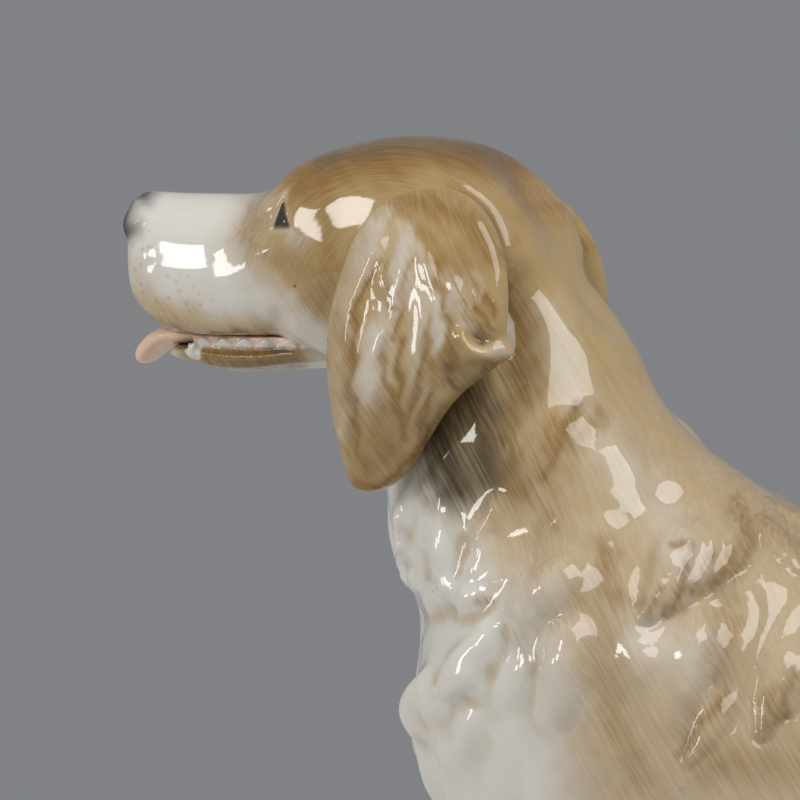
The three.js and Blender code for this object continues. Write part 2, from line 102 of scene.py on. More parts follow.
# A rectangular lamp: degrees round and up, metres and watts
Softbox = namedtuple("Softbox", "name azimuth elevation width height power")


class SpanielSizes(bpy.types.PropertyGroup):
    """Sizes of the head's landmarks and of the modelling."""

    head_length: FloatProperty(
        name="Head length",
        description="Nose tip to the back of the skull",
        default=0.077,
        unit="LENGTH",
    )
    head_depth: FloatProperty(
        name="Head depth",
        description="Crown to chin",
        default=0.037,
        unit="LENGTH",
    )
    body_grain: FloatProperty(
        name="Body grain",
        description="Size of the body's mesh squares before the finer zones are divided",
        default=0.0012,
        unit="LENGTH",
    )
    ear_grain: FloatProperty(
        name="Ear grain",
        description="Size of the mesh squares on the ears",
        default=0.0004,
        unit="LENGTH",
    )
    mouth_grain: FloatProperty(
        name="Mouth grain",
        description="Size of the mesh squares on the jaw and the tongue",
        default=0.0003,
        unit="LENGTH",
    )
    coat_spacing: FloatProperty(
        name="Coat spacing",
        description="Distance between the loose locks of the coat",
        default=0.0085,
        unit="LENGTH",
    )
    coat_length: FloatProperty(
        name="Coat length",
        description="Root to tip of a loose lock",
        default=0.016,
        unit="LENGTH",
    )
    coat_width: FloatProperty(
        name="Coat width",
        description="Half the width of a loose lock",
        default=0.0030,
        unit="LENGTH",
    )
    coat_height: FloatProperty(
        name="Coat height",
        description="How far the tip of a loose lock stands proud",
        default=0.0008,
        unit="LENGTH",
    )


class SpanielColours(bpy.types.PropertyGroup):
    """Colours of the porcelain, of what is brushed on it and of the painted shade."""

    porcelain: FloatVectorProperty(
        name="Porcelain",
        description="Bare white body under the clear glaze",
        default=(0.655, 0.625, 0.56),
        subtype="COLOR",
    )
    wash: FloatVectorProperty(
        name="Wash",
        description="Thin tan brushed over most of the coat",
        default=(0.43, 0.298, 0.135),
        subtype="COLOR",
    )
    stroke: FloatVectorProperty(
        name="Stroke",
        description="Brown of the single brush strokes",
        default=(0.225, 0.118, 0.030),
        subtype="COLOR",
    )
    # Colour of the painted shade: the ear's shadow on the neck, the dark crown edge, the chin's underside,
    # the mouth's corner and the ear's hollows. The pinhole specks use it too.
    shade: FloatVectorProperty(
        name="Shade",
        description="Grey brown brushed into the deep places",
        default=(0.075, 0.055, 0.027),
        subtype="COLOR",
    )
    blush: FloatVectorProperty(
        name="Blush",
        description="Peach of the tongue and the gums",
        default=(0.76, 0.53, 0.39),
        subtype="COLOR",
    )
    ink: FloatVectorProperty(
        name="Ink",
        description="Near black of the eyes and the nose",
        default=(0.022, 0.017, 0.015),
        subtype="COLOR",
    )
    backdrop: FloatVectorProperty(
        name="Backdrop",
        description="Grey that stands behind the figure",
        default=(0.218, 0.225, 0.236),
        subtype="COLOR",
    )
    floor: FloatVectorProperty(
        name="Floor",
        description="Pale floor that the figure stands on",
        default=(0.62, 0.62, 0.61),
        subtype="COLOR",
    )


class SpanielView(bpy.types.PropertyGroup):
    """Where the picture is taken from."""

    azimuth: FloatProperty(
        name="Azimuth",
        description="Turn of the view about the upright axis",
        default=math.radians(20.0),
        subtype="ANGLE",
    )
    elevation: FloatProperty(
        name="Elevation",
        description="Height of the view above the level",
        default=math.radians(4.0),
        subtype="ANGLE",
    )
    distance: FloatProperty(
        name="Distance",
        description="Camera to the middle of the picture",
        default=1.1,
        unit="LENGTH",
    )
    field: FloatProperty(
        name="Field",
        description="Width that the picture covers at the middle of the dog",
        default=0.128,
        unit="LENGTH",
    )
    aim: FloatVectorProperty(
        name="Aim",
        description="Point in the middle of the picture",
        default=(HEAD_LOW.x + 0.0454, MIDDLE, 0.163),
        subtype="XYZ",
        unit="LENGTH",
    )


def sizes():
    return bpy.context.scene.spaniel_sizes


def colours():
    return bpy.context.scene.spaniel_colours


def outlook():
    return bpy.context.scene.spaniel_view


# Small tools for numbers and places


def smooth_step(low, high, value):
    """0 below low, 1 above high and a soft slope between them."""
    share = np.clip((value - low) / (high - low), 0.0, 1.0)
    return share * share * (3.0 - 2.0 * share)


def mirrored(points):
    """The same points on the dog's other side."""
    flipped = np.array(points, float)
    flipped[..., 1] = 2.0 * MIDDLE - flipped[..., 1]
    return flipped


def head_point(forward, down, out):
    """A place in the head: shares of its length and depth, and metres from the middle plane."""
    return np.array(
        (
            HEAD_LOW.x + sizes().head_length * (1.0 - forward),
            MIDDLE + out,
            HEAD_HIGH.z - sizes().head_depth * down,
        )
    )


class Path:
    """A smooth line through a few points, in the picture or in space."""

    SAMPLES = 20

    def __init__(self, points):
        points = np.asarray(points, float)
        ends = 2.0 * points[[0, -1]] - points[[min(1, len(points) - 1), max(-2, -len(points))]]
        padded = np.vstack([ends[:1], points, ends[1:]])
        spans = max(len(points) - 1, 1)
        at = np.linspace(0.0, spans, self.SAMPLES)
        first = np.minimum(at.astype(int), spans - 1)
        share = (at - first)[:, None]
        a, b, c, d = (padded[np.minimum(first + i, len(padded) - 1)] for i in range(4))
        slope = (c - a) * share
        curve = (2.0 * a - 5.0 * b + 4.0 * c - d) * share**2
        bend = (-a + 3.0 * b - 3.0 * c + d) * share**3
        self.points = 0.5 * (2.0 * b + slope + curve + bend)

    def measure(self, spots):
        """Each spot's distance to the line, and how far along the line it lies, from 0 to 1."""
        start = self.points[:-1]
        step = self.points[1:] - start
        offset = spots[:, None, :] - start
        share = (offset * step).sum(-1) / np.maximum((step**2).sum(-1), TINY_STEP)
        share = np.clip(share, 0.0, 1.0)
        gap = np.linalg.norm(offset - share[..., None] * step, axis=-1)
        best = gap.argmin(axis=1)
        rows = np.arange(len(spots))
        return gap[rows, best], (best + share[rows, best]) / len(step)

    def near(self, spots, reach):
        """The numbers of the spots inside the line's box, grown by a reach."""
        low = self.points.min(axis=0) - reach
        high = self.points.max(axis=0) + reach
        kept = np.arange(len(spots))
        for axis in range(spots.shape[1]):
            values = spots[kept, axis]
            kept = kept[(values > low[axis]) & (values < high[axis])]
        return kept


class Viewpoint:
    """The picture's camera as a point and three directions."""

    def __init__(self, view):
        turn, rise = view.azimuth, view.elevation
        level = math.cos(rise)
        back = Vector((math.sin(turn) * level, -math.cos(turn) * level, math.sin(rise)))
        self.distance = view.distance
        self.place = Vector(view.aim) + back * view.distance
        self.look = -back
        self.right = Vector((math.cos(turn), math.sin(turn), 0.0))
        self.up = self.right.cross(self.look)
        self.spread = view.field / 2 / view.distance

    def ray(self, pixel):
        half = PICTURE / 2
        across = (pixel[0] - half) / half * self.spread
        upward = (half - pixel[1]) / half * self.spread
        return self.look + self.right * across + self.up * upward

    def pixels(self, points):
        """Where points on the dog's left side, or mirrored to it, lie in the picture."""
        left = np.array(points, float)
        left[:, 1] = np.minimum(left[:, 1], 2.0 * MIDDLE - left[:, 1])
        offset = left - np.array(self.place)
        depth = offset @ np.array(self.look)
        half = PICTURE / 2
        across = half + half * (offset @ np.array(self.right)) / depth / self.spread
        down = half - half * (offset @ np.array(self.up)) / depth / self.spread
        return np.stack([across, down], axis=1)


# Clay: a mesh held as arrays while it is shaped


class Clay:
    """A mesh's points and faces as arrays, with the tools that shape them."""

    PULL_AND_PUSH = (0.5, -0.52)  # shares of the way to the neighbours' mean

    def __init__(self, mesh):
        self.mesh = mesh
        count = len(mesh.vertices)
        self.points = np.zeros(count * 3)
        mesh.vertices.foreach_get("co", self.points)
        self.points = self.points.reshape(-1, 3)
        edges = np.zeros(len(mesh.edges) * 2, int)
        mesh.edges.foreach_get("vertices", edges)
        self.edges = edges.reshape(-1, 2)
        mesh.calc_loop_triangles()
        corners = np.zeros(len(mesh.loop_triangles) * 3, int)
        mesh.loop_triangles.foreach_get("vertices", corners)
        self.triangles = corners.reshape(-1, 3)
        self.order_neighbours()
        self.find_normals()

    def order_neighbours(self):
        both = np.concatenate([self.edges, self.edges[:, ::-1]])
        both = both[np.argsort(both[:, 0], kind="stable")]
        self.neighbours = both[:, 1]
        self.valence = np.bincount(both[:, 0], minlength=len(self.points))
        self.starts = np.concatenate([[0], np.cumsum(self.valence)[:-1]])

    def find_normals(self):
        a, b, c = (self.points[self.triangles[:, i]] for i in range(3))
        face = np.cross(b - a, c - a)
        total = np.zeros_like(self.points)
        for i in range(3):
            for axis in range(3):
                total[:, axis] += np.bincount(
                    self.triangles[:, i], face[:, axis], minlength=len(self.points)
                )
        self.normals = total / np.maximum(np.linalg.norm(total, axis=1, keepdims=True), TINY)

    def average(self, values):
        """The mean of each point's neighbours."""
        sums = np.add.reduceat(values[self.neighbours], self.starts, axis=0)
        return sums / self.valence.reshape((-1,) + (1,) * (values.ndim - 1))

    def settle(self, rounds, share=1.0):
        """Smooths without shrinking: each round pulls in and then pushes back out."""
        weight = np.broadcast_to(np.asarray(share, float), (len(self.points),))[:, None]
        for _ in range(rounds):
            for pull in self.PULL_AND_PUSH:
                self.points += weight * pull * (self.average(self.points) - self.points)
        self.find_normals()

    def relax(self, rounds):
        """Smooths more strongly, and draws the edges in a little."""
        self.points = self.soften(self.points, rounds)
        self.find_normals()

    def soften(self, values, rounds):
        """Spreads a value over the surface."""
        for _ in range(rounds):
            values = 0.5 * values + 0.5 * self.average(values)
        return values

    def press(self, depth):
        """Moves every point along its normal."""
        self.points += self.normals * depth[:, None]
        self.find_normals()

    def hollowness(self, rounds):
        """How sharply the surface is hollow at each point, as one over a radius."""
        middle = self.average(self.points)
        offset = middle - self.points
        square = (self.points**2).sum(1)
        reach = self.average(square) - 2.0 * (self.points * middle).sum(1) + square
        sharpness = 2.0 * (offset * self.normals).sum(1) / np.maximum(reach, TINY)
        return self.soften(sharpness, rounds)

    def write(self):
        self.mesh.vertices.foreach_set("co", self.points.ravel())
        self.mesh.update()

    def tree(self):
        return BVHTree.FromPolygons(self.points.tolist(), self.triangles.tolist())


class Pins:
    """Finds where the picture's pixels lie on one clay."""

    def __init__(self, clay):
        self.tree = clay.tree()
        self.view = Viewpoint(outlook())

    def spot(self, pixel):
        ray = self.view.ray(pixel)
        spot = self.tree.ray_cast(self.view.place, ray)[0]
        if spot is None:
            spot = self.tree.find_nearest(self.view.place + ray * self.view.distance)[0]
        return spot

    def both(self, pixels):
        """The line through some pixels on the left side, and the same line on the right side."""
        spots = np.array([self.spot(pixel) for pixel in pixels])
        return Path(spots), Path(mirrored(spots))


class Relief:
    """Heights that are gathered over a clay before they are pressed into it."""

    LOCK_REACH = 2.2  # how far a lock and its groove spread, in half widths
    LOCK_SHARES = (0.0, 0.45, 0.8, 1.0)  # places along a lock, from its root
    LOCK_WIDTHS = (0.5, 1.0, 0.8, 0.4)  # how wide it is at these places
    LOCK_RISE = 0.6  # share of the length along which it rises
    LOCK_ROUNDNESS = 1.2
    LOCK_COVER = 0.55  # how much it hides of what lies under it
    GROOVE_DEPTH = 0.3  # as a share of the lock's height
    GROOVE_PLACE, GROOVE_WIDTH = 1.2, 0.4  # in half widths of the lock

    def __init__(self, clay):
        self.clay = clay
        self.height = np.zeros(len(clay.points))

    def swell(self, path, radius, height):
        """A soft rise along a line, or a soft hollow where the height is negative."""
        spots = path.near(self.clay.points, radius)
        gap, _ = path.measure(self.clay.points[spots])
        self.height[spots] += height * np.clip(1.0 - (gap / radius) ** 2, 0.0, 1.0) ** 2

    def lock(self, path, width, height):
        """A lock that rises from its root to a pointed tip, with a groove along its edge."""
        spots = path.near(self.clay.points, width * self.LOCK_REACH)
        gap, share = path.measure(self.clay.points[spots])
        edge = width * np.interp(share, self.LOCK_SHARES, self.LOCK_WIDTHS)
        across = gap / edge
        inside = np.clip(1.0 - across**2, 0.0, 1.0)
        rise = smooth_step(0.0, self.LOCK_RISE, share)
        crown = height * rise * inside**self.LOCK_ROUNDNESS
        beside = np.exp(-(((across - self.GROOVE_PLACE) / self.GROOVE_WIDTH) ** 2))
        groove = -self.GROOVE_DEPTH * height * rise * beside
        ground = self.height[spots] * (1.0 - self.LOCK_COVER * rise * inside)
        self.height[spots] = ground + crown + groove

    def press(self, rounds=1):
        self.clay.press(self.clay.soften(self.height, rounds))


def press_swells(relief, pins, swells):
    for swell in swells:
        for path in pins.both(swell.pixels):
            relief.swell(path, swell.radius * MM, swell.height * MM)


def press_locks(relief, pins, locks):
    for lock in locks:
        for path in pins.both(lock.pixels):
            relief.lock(path, lock.width * MM, lock.height * MM)


WANDER = 4.0  # how far a loose hand strays, in pixels
SIDEWAYS = Waves(0.09, 1.7, 0.05, 0.21, 0.17)
UPWARD = Waves(0.08, 1.9, 0.06, 0.19, -0.23)


def rock(waves, along, other):
    """A slow wave that bends and a quick one on top of it."""
    slow = np.sin(waves.slow * along + waves.bend * np.sin(waves.bend_pace * other))
    return slow + np.sin(waves.quick * other + waves.lean * along)


def wander(pixels, reach):
    """Places in the picture, shifted a little to and fro."""
    across, down = pixels.T
    shift = np.stack([rock(SIDEWAYS, down, across), rock(UPWARD, across, down)], axis=1)
    return pixels + reach * 0.5 * shift


class Paint:
    """Amounts of each colour at each point of a clay, laid on in the picture's pixels."""

    LAYERS = ("wash", "stroke", "shade", "blush", "ink", "freckle", "turn")
    DAB_REACH = 2.0  # how far a dab's soft edge spreads, in radii

    def __init__(self, clay, reach=WANDER):
        self.clay = clay
        self.pixels = wander(Viewpoint(outlook()).pixels(clay.points), reach)
        self.layers = {name: np.zeros(len(clay.points)) for name in self.LAYERS}

    def cover(self, dab):
        """The points near a dab, and how strongly it covers each of them."""
        path = Path(dab.pixels)
        spots = path.near(self.pixels, dab.radius * self.DAB_REACH)
        gap, _ = path.measure(self.pixels[spots])
        return spots, dab.amount * np.exp(-((gap / dab.radius) ** 2))

    def dabs(self, layer, dabs):
        """Lays soft brush dabs over a layer, up to full strength."""
        target = self.layers[layer]
        for dab in dabs:
            spots, cover = self.cover(dab)
            target[spots] += cover * (1.0 - target[spots])

    def wipe(self, layer, dabs):
        """Takes paint off along soft dabs."""
        target = self.layers[layer]
        for dab in dabs:
            spots, cover = self.cover(dab)
            target[spots] *= 1.0 - cover

    def write(self):
        mesh = self.clay.mesh
        for name, values in self.layers.items():
            layer = mesh.attributes.new(name, "FLOAT", "POINT")
            layer.data.foreach_set("value", values)
        crown = mesh.attributes.new("crown", "FLOAT_VECTOR", "POINT")
        crown.data.foreach_set("vector", crown_strands(self.clay.points).ravel())


CROWN_PIVOT = (0.35, 0.73)  # the strokes on the skull turn about it: shares of the head's size


def crown_strands(points):
    """Coordinates that follow the brush round the skull: along, outward and across, in metres."""
    pivot = head_point(*CROWN_PIVOT, 0.0)
    offset = points - pivot
    radius = np.hypot(offset[:, 0], offset[:, 2])
    angle = np.arctan2(offset[:, 2], offset[:, 0])
    return np.stack([angle * sizes().head_depth, radius, np.abs(offset[:, 1])], axis=1)


# Skins: the castings as even meshes


MERGE_DISTANCE = 1e-6


def castings(names, swell):
    """One bmesh of the named castings, each swollen a little so that their seams close."""
    bm = bmesh.new()
    for name in names:
        bm.from_mesh(frame["nodes"][name].data)
    bmesh.ops.remove_doubles(bm, verts=bm.verts, dist=MERGE_DISTANCE)
    bm.normal_update()
    for vertex in bm.verts:
        vertex.co += vertex.normal * swell
    return bm


def remeshed(bm, grain):
    """The bmesh skinned with even squares, as a mesh."""
    mesh = bpy.data.meshes.new("clay")
    bm.to_mesh(mesh)
    bm.free()
    holder = bpy.data.objects.new("clay", mesh)
    bpy.context.scene.collection.objects.link(holder)
    skin = holder.modifiers.new("Skin", "REMESH")
    skin.mode = "VOXEL"
    skin.voxel_size = grain
    graph = bpy.context.evaluated_depsgraph_get()
    result = bpy.data.meshes.new_from_object(holder.evaluated_get(graph))
    bpy.data.objects.remove(holder)
    bpy.data.meshes.remove(mesh)
    return result


def islands(count, edges):
    """A label for each point, the same on every point that edges connect."""
    label = np.arange(count)
    while True:
        low = np.minimum(label[edges[:, 0]], label[edges[:, 1]])
        lower = label.copy()
        np.minimum.at(lower, edges[:, 0], low)
        np.minimum.at(lower, edges[:, 1], low)
        lower = lower[lower]
        if (lower == label).all():
            return label
        label = lower


def keep_outer_skin(mesh):
    """Deletes every island but the one with the most points."""
    clay = Clay(mesh)
    label = islands(len(clay.points), clay.edges)
    outer = np.bincount(label).argmax()
    bm = bmesh.new()
    bm.from_mesh(mesh)
    inner = [v for v, mark in zip(bm.verts, label) if mark != outer]
    bmesh.ops.delete(bm, geom=inner, context="VERTS")
    bm.to_mesh(mesh)
    bm.free()


def divided(mesh, inside):
    """Splits every square inside the mask into four."""
    bm = bmesh.new()
    bm.from_mesh(mesh)
    chosen = [e for e in bm.edges if inside[e.verts[0].index] and inside[e.verts[1].index]]
    bmesh.ops.subdivide_edges(bm, edges=chosen, cuts=1, use_grid_fill=True)
    bm.to_mesh(mesh)
    bm.free()


def nearest_nodes(points):
    """For each point, the number in BODY_NODES of the casting that it lies on."""
    corners, faces, owner = [], [], []
    for index, name in enumerate(BODY_NODES):
        mesh = frame["nodes"][name].data
        base = len(corners)
        corners.extend(v.co.copy() for v in mesh.vertices)
        faces.extend([base + i for i in p.vertices] for p in mesh.polygons)
        owner.extend([index] * len(mesh.polygons))
    tree = BVHTree.FromPolygons(corners, faces)
    return np.array([owner[tree.find_nearest(point)[2]] for point in points.tolist()])


VENT_ALONG = 0.794  # share of the trunk's box from the chest
PLUG_RADIUS = 8 * MM
PLUG_LEVEL = 6 * MM
PLUG_HEIGHT = 5 * MM
PLUG_SIDES = 24


def plug_vent(bm):
    """Closes the firing vent a little way up, so that its mouth still shows."""
    plug = bmesh.ops.create_cone(
        bm,
        cap_ends=True,
        segments=PLUG_SIDES,
        radius1=PLUG_RADIUS,
        radius2=PLUG_RADIUS,
        depth=PLUG_HEIGHT,
    )
    along = TRUNK_LOW.x + (TRUNK_HIGH.x - TRUNK_LOW.x) * VENT_ALONG
    bmesh.ops.translate(bm, verts=plug["verts"], vec=Vector((along, MIDDLE, PLUG_LEVEL)))


SEAM_SWELL = 0.3 * MM
FINE_FROM = 88 * MM  # height on the trunk above which the mesh is finer
FACE_SHARE = 0.54  # share of the head's length that has the finest mesh
SEAM_ROUNDS = 10
SEAM_WIDENING = 4.0  # how far the smoothed zone beside a seam stays at full strength
SEAM_SETTLING = 60
SKIN_ROUNDS = 40  # rounds of smoothing before and after the mesh is divided
UPPER_ROUNDS = 8
FACE_ROUNDS = 6
LOBE_ROUNDS = 90  # how long the tufts on the shoulders and chest are smoothed into lobes


def belongs(owner, *names):
    """Which points lie on the named castings."""
    return np.isin(owner, [BODY_NODES.index(name) for name in names])


def blend_seams(clay, owner):
    """Softens the creases where one casting runs into another."""
    crossing = owner[clay.edges[:, 0]] != owner[clay.edges[:, 1]]
    seam = np.zeros(len(clay.points))
    seam[clay.edges[crossing].ravel()] = 1.0
    weight = np.clip(clay.soften(seam, SEAM_ROUNDS) * SEAM_WIDENING, 0.0, 1.0)
    clay.settle(SEAM_SETTLING, weight)


def body_skin():
    """The trunk, head, legs and tail as one smooth skin, finer above and finest on the face."""
    bm = castings(BODY_NODES, SEAM_SWELL)
    plug_vent(bm)
    mesh = remeshed(bm, sizes().body_grain)
    keep_outer_skin(mesh)
    clay = Clay(mesh)
    clay.settle(SKIN_ROUNDS)
    owner = nearest_nodes(clay.points)
    trunk = belongs(owner, "trunk")
    clay.settle(LOBE_ROUNDS, trunk & (clay.points[:, 2] > FINE_FROM))
    blend_seams(clay, owner)
    clay.write()
    divided(mesh, ~trunk | (clay.points[:, 2] > FINE_FROM))
    clay = Clay(mesh)
    clay.settle(UPPER_ROUNDS)
    clay.write()
    face_end = HEAD_LOW.x + sizes().head_length * FACE_SHARE
    divided(mesh, (clay.points[:, 0] < face_end) & (clay.points[:, 2] > HEAD_LOW.z))
    clay = Clay(mesh)
    clay.settle(FACE_ROUNDS)
    clay.write()
    return clay


# The face

EYE_CORNERS = ((283, 198), (271, 228), (290, 228))  # peak of the upper lid, front and rear corners
EYE_REACH = 9.0 * MM
EYE_SHARPNESS = 6.0  # the higher it is, the less the corners are rounded
EYE_BULGE = 0.35 * MM
LID_DEPTH = 0.35 * MM  # of the line cut round the eye
LID_PLACE, LID_WIDTH = 1.05, 0.14  # where that line lies: 1 is the rim of the lids


class Eye:
    """One eye: a rounded triangle in the plane that touches the head there."""

    def __init__(self, corners, normal):
        self.spot = corners.mean(axis=0)
        self.sides = []
        for first, second in zip(corners, np.roll(corners, -1, axis=0)):
            outward = np.cross(second - first, normal)
            self.sides.append(outward / (outward @ (first - self.spot)))

    def openness(self, points):
        """0 in the middle of the eye, 1 on the rim of its lids and more outside."""
        offset = points - self.spot
        beyond = [np.maximum(offset @ side, 0.0) ** EYE_SHARPNESS for side in self.sides]
        return sum(beyond) ** (1.0 / EYE_SHARPNESS)


def eyes(clay, pins):
    corners = np.array([pins.spot(pixel) for pixel in EYE_CORNERS])
    near = np.linalg.norm(clay.points - corners.mean(axis=0), axis=1) < EYE_REACH / 2
    normal = clay.normals[near].mean(axis=0)
    normal /= np.linalg.norm(normal)
    return Eye(corners, normal), Eye(mirrored(corners), normal * (1.0, -1.0, 1.0))


def press_eyes(relief, both):
    """Bulges each eyeball and cuts the line round it."""
    points = relief.clay.points
    for eye in both:
        spots = np.flatnonzero(np.linalg.norm(points - eye.spot, axis=1) < EYE_REACH)
        rim = eye.openness(points[spots])
        ball = EYE_BULGE * np.clip(1.0 - rim**2, 0.0, 1.0)
        line = -LID_DEPTH * np.exp(-(((rim - LID_PLACE) / LID_WIDTH) ** 2))
        relief.height[spots] += ball + line


FACE_SWELLS = (
    Swell(((300, 176), (318, 168)), 5.0, -0.4),
    Swell(((262, 224), (266, 212)), 4.5, -0.7),
    Swell(((282, 318), (280, 346)), 3.0, -0.5),
    Swell(((160, 318), (200, 328), (250, 328)), 3.2, 0.5),
    Swell(((150, 229), (235, 229)), 6.0, 0.4),
    Swell(((185, 238), (185, 262)), 8.0, 0.22),
    Swell(((150, 250), (240, 250)), 7.0, 0.22),
    Swell(((140, 228), (140, 272)), 9.0, 0.2),
    Swell(((136, 258), (146, 258)), 2.2, 0.22),
    Swell(((247, 248), (247, 275)), 9.0, 0.55),
    Swell(((230, 286), (236, 286)), 5.0, 0.2),
    Swell(((335, 266), (350, 266)), 9.0, 0.45),
    Swell(((395, 200), (395, 235)), 9.0, 0.35),
)
MUZZLE_TRIM = (
    (0.22, 0.2),
    (0.34, 0.5),
    (0.45, 1.1),
    (0.60, 1.1),
    (0.68, 1.3),
    (0.76, 1.9),
    (0.85, 1.9),
)  # how far the muzzle's front is set back: share of the head's depth, and mm
MUZZLE_TRIM_REACH = 14 * MM


def trim_muzzle(clay):
    """Sets the front of the muzzle back under the nose."""
    down = (HEAD_HIGH.z - clay.points[:, 2]) / sizes().head_depth
    behind = clay.points[:, 0] - HEAD_LOW.x
    fade = 1.0 - smooth_step(0.0, MUZZLE_TRIM_REACH, behind)
    back = np.interp(down, *np.array(MUZZLE_TRIM).T) * MM
    above = clay.points[:, 2] > HEAD_LOW.z
    clay.points[:, 0] += np.where(above, back * fade, 0.0)
    clay.find_normals()


NOSE_SWELLS = (
    Swell(((152, 192), (150, 214), (142, 232), (134, 240)), 1.3, -0.3),
    Swell(((128, 224), (128, 206), (134, 196)), 3.2, 0.6),
    Swell(((131, 238), (138, 236)), 2.0, -0.6),
)
NOSTRIL_PLACE = (0.985, 0.36, 3.6 * MM)  # shares of the head's length and depth, and out from the middle
NOSTRIL_TAIL = (0.03, 0.06, 1.5)  # how far back and down its end lies, and how many times further out
NOSTRIL_RADIUS = 1.7 * MM
NOSTRIL_DEPTH = 1.1 * MM
LIP_PARTING = ((1.0, 0.47), (0.99, 0.62), (0.95, 0.8))  # the groove under the nose, in shares of the head
PARTING_RADIUS = 1.5 * MM
PARTING_DEPTH = 0.6 * MM


def on_surface(pins, points):
    return np.array([pins.tree.find_nearest(Vector(point))[0] for point in points])


def press_nose(relief, pins):
    """Sets the nose off with a crease, opens the nostrils and parts the upper lip."""
    press_swells(relief, pins, NOSE_SWELLS)
    forward, down, out = NOSTRIL_PLACE
    back, lower, wider = NOSTRIL_TAIL
    for side in (-1.0, 1.0):
        pit = head_point(forward, down, out * side)
        tail = head_point(forward - back, down + lower, out * side * wider)
        relief.swell(Path(on_surface(pins, (pit, tail))), NOSTRIL_RADIUS, -NOSTRIL_DEPTH)
    parting = [head_point(forward, down, 0.0) for forward, down in LIP_PARTING]
    relief.swell(Path(on_surface(pins, parting)), PARTING_RADIUS, -PARTING_DEPTH)


# The coat: locks that the picture shows, then loose ones that follow the lie of the hair

SHOULDER_LOCKS = (
    Lock(((734, 490), (744, 522), (736, 552), (716, 578)), 2.8, 1.0),
    Lock(((712, 490), (722, 530), (712, 564), (692, 588)), 3.0, 1.2),
    Lock(((690, 490), (700, 535), (692, 575), (671, 606)), 3.2, 1.4),
    Lock(((664, 500), (676, 540), (666, 578), (648, 615)), 3.6, 1.5),
    Lock(((740, 660), (722, 705), (690, 760)), 3.2, 0.9),
    Lock(((826, 600), (808, 655), (790, 710)), 2.4, 0.9),
    Lock(((808, 610), (794, 660), (777, 718)), 2.3, 1.0),
    Lock(((792, 600), (776, 660), (763, 735)), 2.6, 1.1),
)
SHOULDER_SWELLS = (
    Swell(((580, 438), (606, 450)), 8.5, 1.6),
    Swell(((646, 518), (668, 506)), 8.0, -1.4),
    Swell(((662, 524), (676, 540)), 7.0, 1.0),
    Swell(((596, 508), (622, 522)), 4.0, -0.6),
    Swell(((650, 636), (676, 618), (716, 596)), 4.5, -1.0),
    Swell(((700, 640), (680, 690)), 9.0, 1.2),
    Swell(((728, 610), (720, 690), (694, 740)), 5.0, -1.0),
    Swell(((605, 560), (604, 640), (616, 720)), 6.0, -0.8),
    Swell(((640, 740), (630, 820)), 9.0, 0.8),
    Swell(((730, 770), (720, 840)), 8.0, 0.8),
)
CHEST_LUMPS = (
    Swell(((410, 492), (402, 508), (402, 516)), 2.6, 1.0),
    Swell(((404, 522), (400, 534), (402, 542)), 2.4, 1.0),
    Swell(((406, 550), (402, 562), (406, 570)), 2.6, 1.0),
    Swell(((414, 578), (410, 590), (414, 602)), 2.6, 1.0),
    Swell(((424, 520), (422, 536)), 2.6, 0.7),
    Swell(((440, 530), (437, 552), (440, 570)), 3.4, 0.8),
    Swell(((490, 502), (482, 518), (468, 534)), 3.0, 0.9),
    Swell(((476, 552), (470, 566)), 3.4, 0.8),
    Swell(((430, 596), (446, 592)), 3.0, 0.7),
    Swell(((458, 604), (474, 600)), 3.0, 0.7),
    Swell(((556, 566), (540, 584), (522, 606)), 6.0, 1.5),
    Swell(((528, 624), (520, 640)), 3.6, 1.0),
    Swell(((572, 640), (562, 676), (558, 708)), 5.0, 1.5),
    Swell(((488, 640), (464, 664), (450, 676)), 4.6, 1.6),
    Swell(((474, 684), (452, 696), (430, 706)), 3.8, 1.5),
    Swell(((424, 684), (408, 700), (408, 716), (416, 730)), 3.6, 1.2),
    Swell(((520, 672), (508, 694)), 4.0, 1.2),
    Swell(((462, 728), (448, 756)), 5.4, 0.8),
    Swell(((512, 742), (502, 780)), 5.4, 0.7),
    Swell(((572, 750), (564, 796)), 5.6, 0.6),
)
CHEST_SWELLS = (
    Swell(((424, 500), (424, 580)), 3.0, -0.6),
    Swell(((456, 545), (452, 600)), 3.0, -0.6),
    Swell(((420, 622), (470, 608), (500, 596)), 4.0, -0.9),
    Swell(((500, 640), (530, 630)), 4.0, -0.6),
    Swell(((450, 590), (466, 600)), 3.4, 0.8),
    Swell(((580, 610), (590, 660)), 14.0, 1.8),
)
NECK_SWELLS = (
    Swell(((472, 512), (500, 526), (532, 532)), 12.5, -2.6),
    Swell(((514, 280), (522, 350), (508, 430)), 5.0, -1.0),
    Swell(((462, 186), (490, 210), (504, 242), (507, 280)), 2.7, 0.75),
    Swell(((552, 195), (574, 225), (592, 252), (604, 278)), 15.0, -2.2),
)
BODY_SWELLS = NECK_SWELLS + SHOULDER_SWELLS + CHEST_SWELLS + CHEST_LUMPS
FLOW = (
    ((190, 250), (0.95, 0.3)),
    ((320, 190), (0.95, -0.3)),
    ((300, 300), (0.4, 0.9)),
    ((420, 160), (1.0, 0.0)),
    ((520, 190), (0.8, 0.6)),
    ((570, 300), (0.3, 0.95)),
    ((470, 450), (0.0, 1.0)),
    ((540, 450), (-0.3, 0.95)),
    ((640, 520), (-0.35, 0.93)),
    ((440, 620), (-0.3, 0.95)),
    ((560, 720), (-0.1, 1.0)),
    ((780, 640), (-0.25, 0.97)),
    ((720, 460), (0.5, 0.85)),
    ((900, 700), (0.2, 0.98)),
    ((600, 1100), (0.1, 1.0)),
    ((1000, 1100), (0.35, 0.94)),
)  # which way the hair lies: a pixel and a direction across and down the picture
FLOW_SPREAD = 110.0  # pixels
COAT_STEPS = 6
COAT_SEED = 11
COAT_TRIES = 6000  # how many places are tried for a lock's root
COAT_SIZES = (0.75, 1.25)  # the smallest and the largest lock
COAT_SWAY = 0.35  # how far a lock may swing aside
SWAY_PACE = 0.9  # radians a step
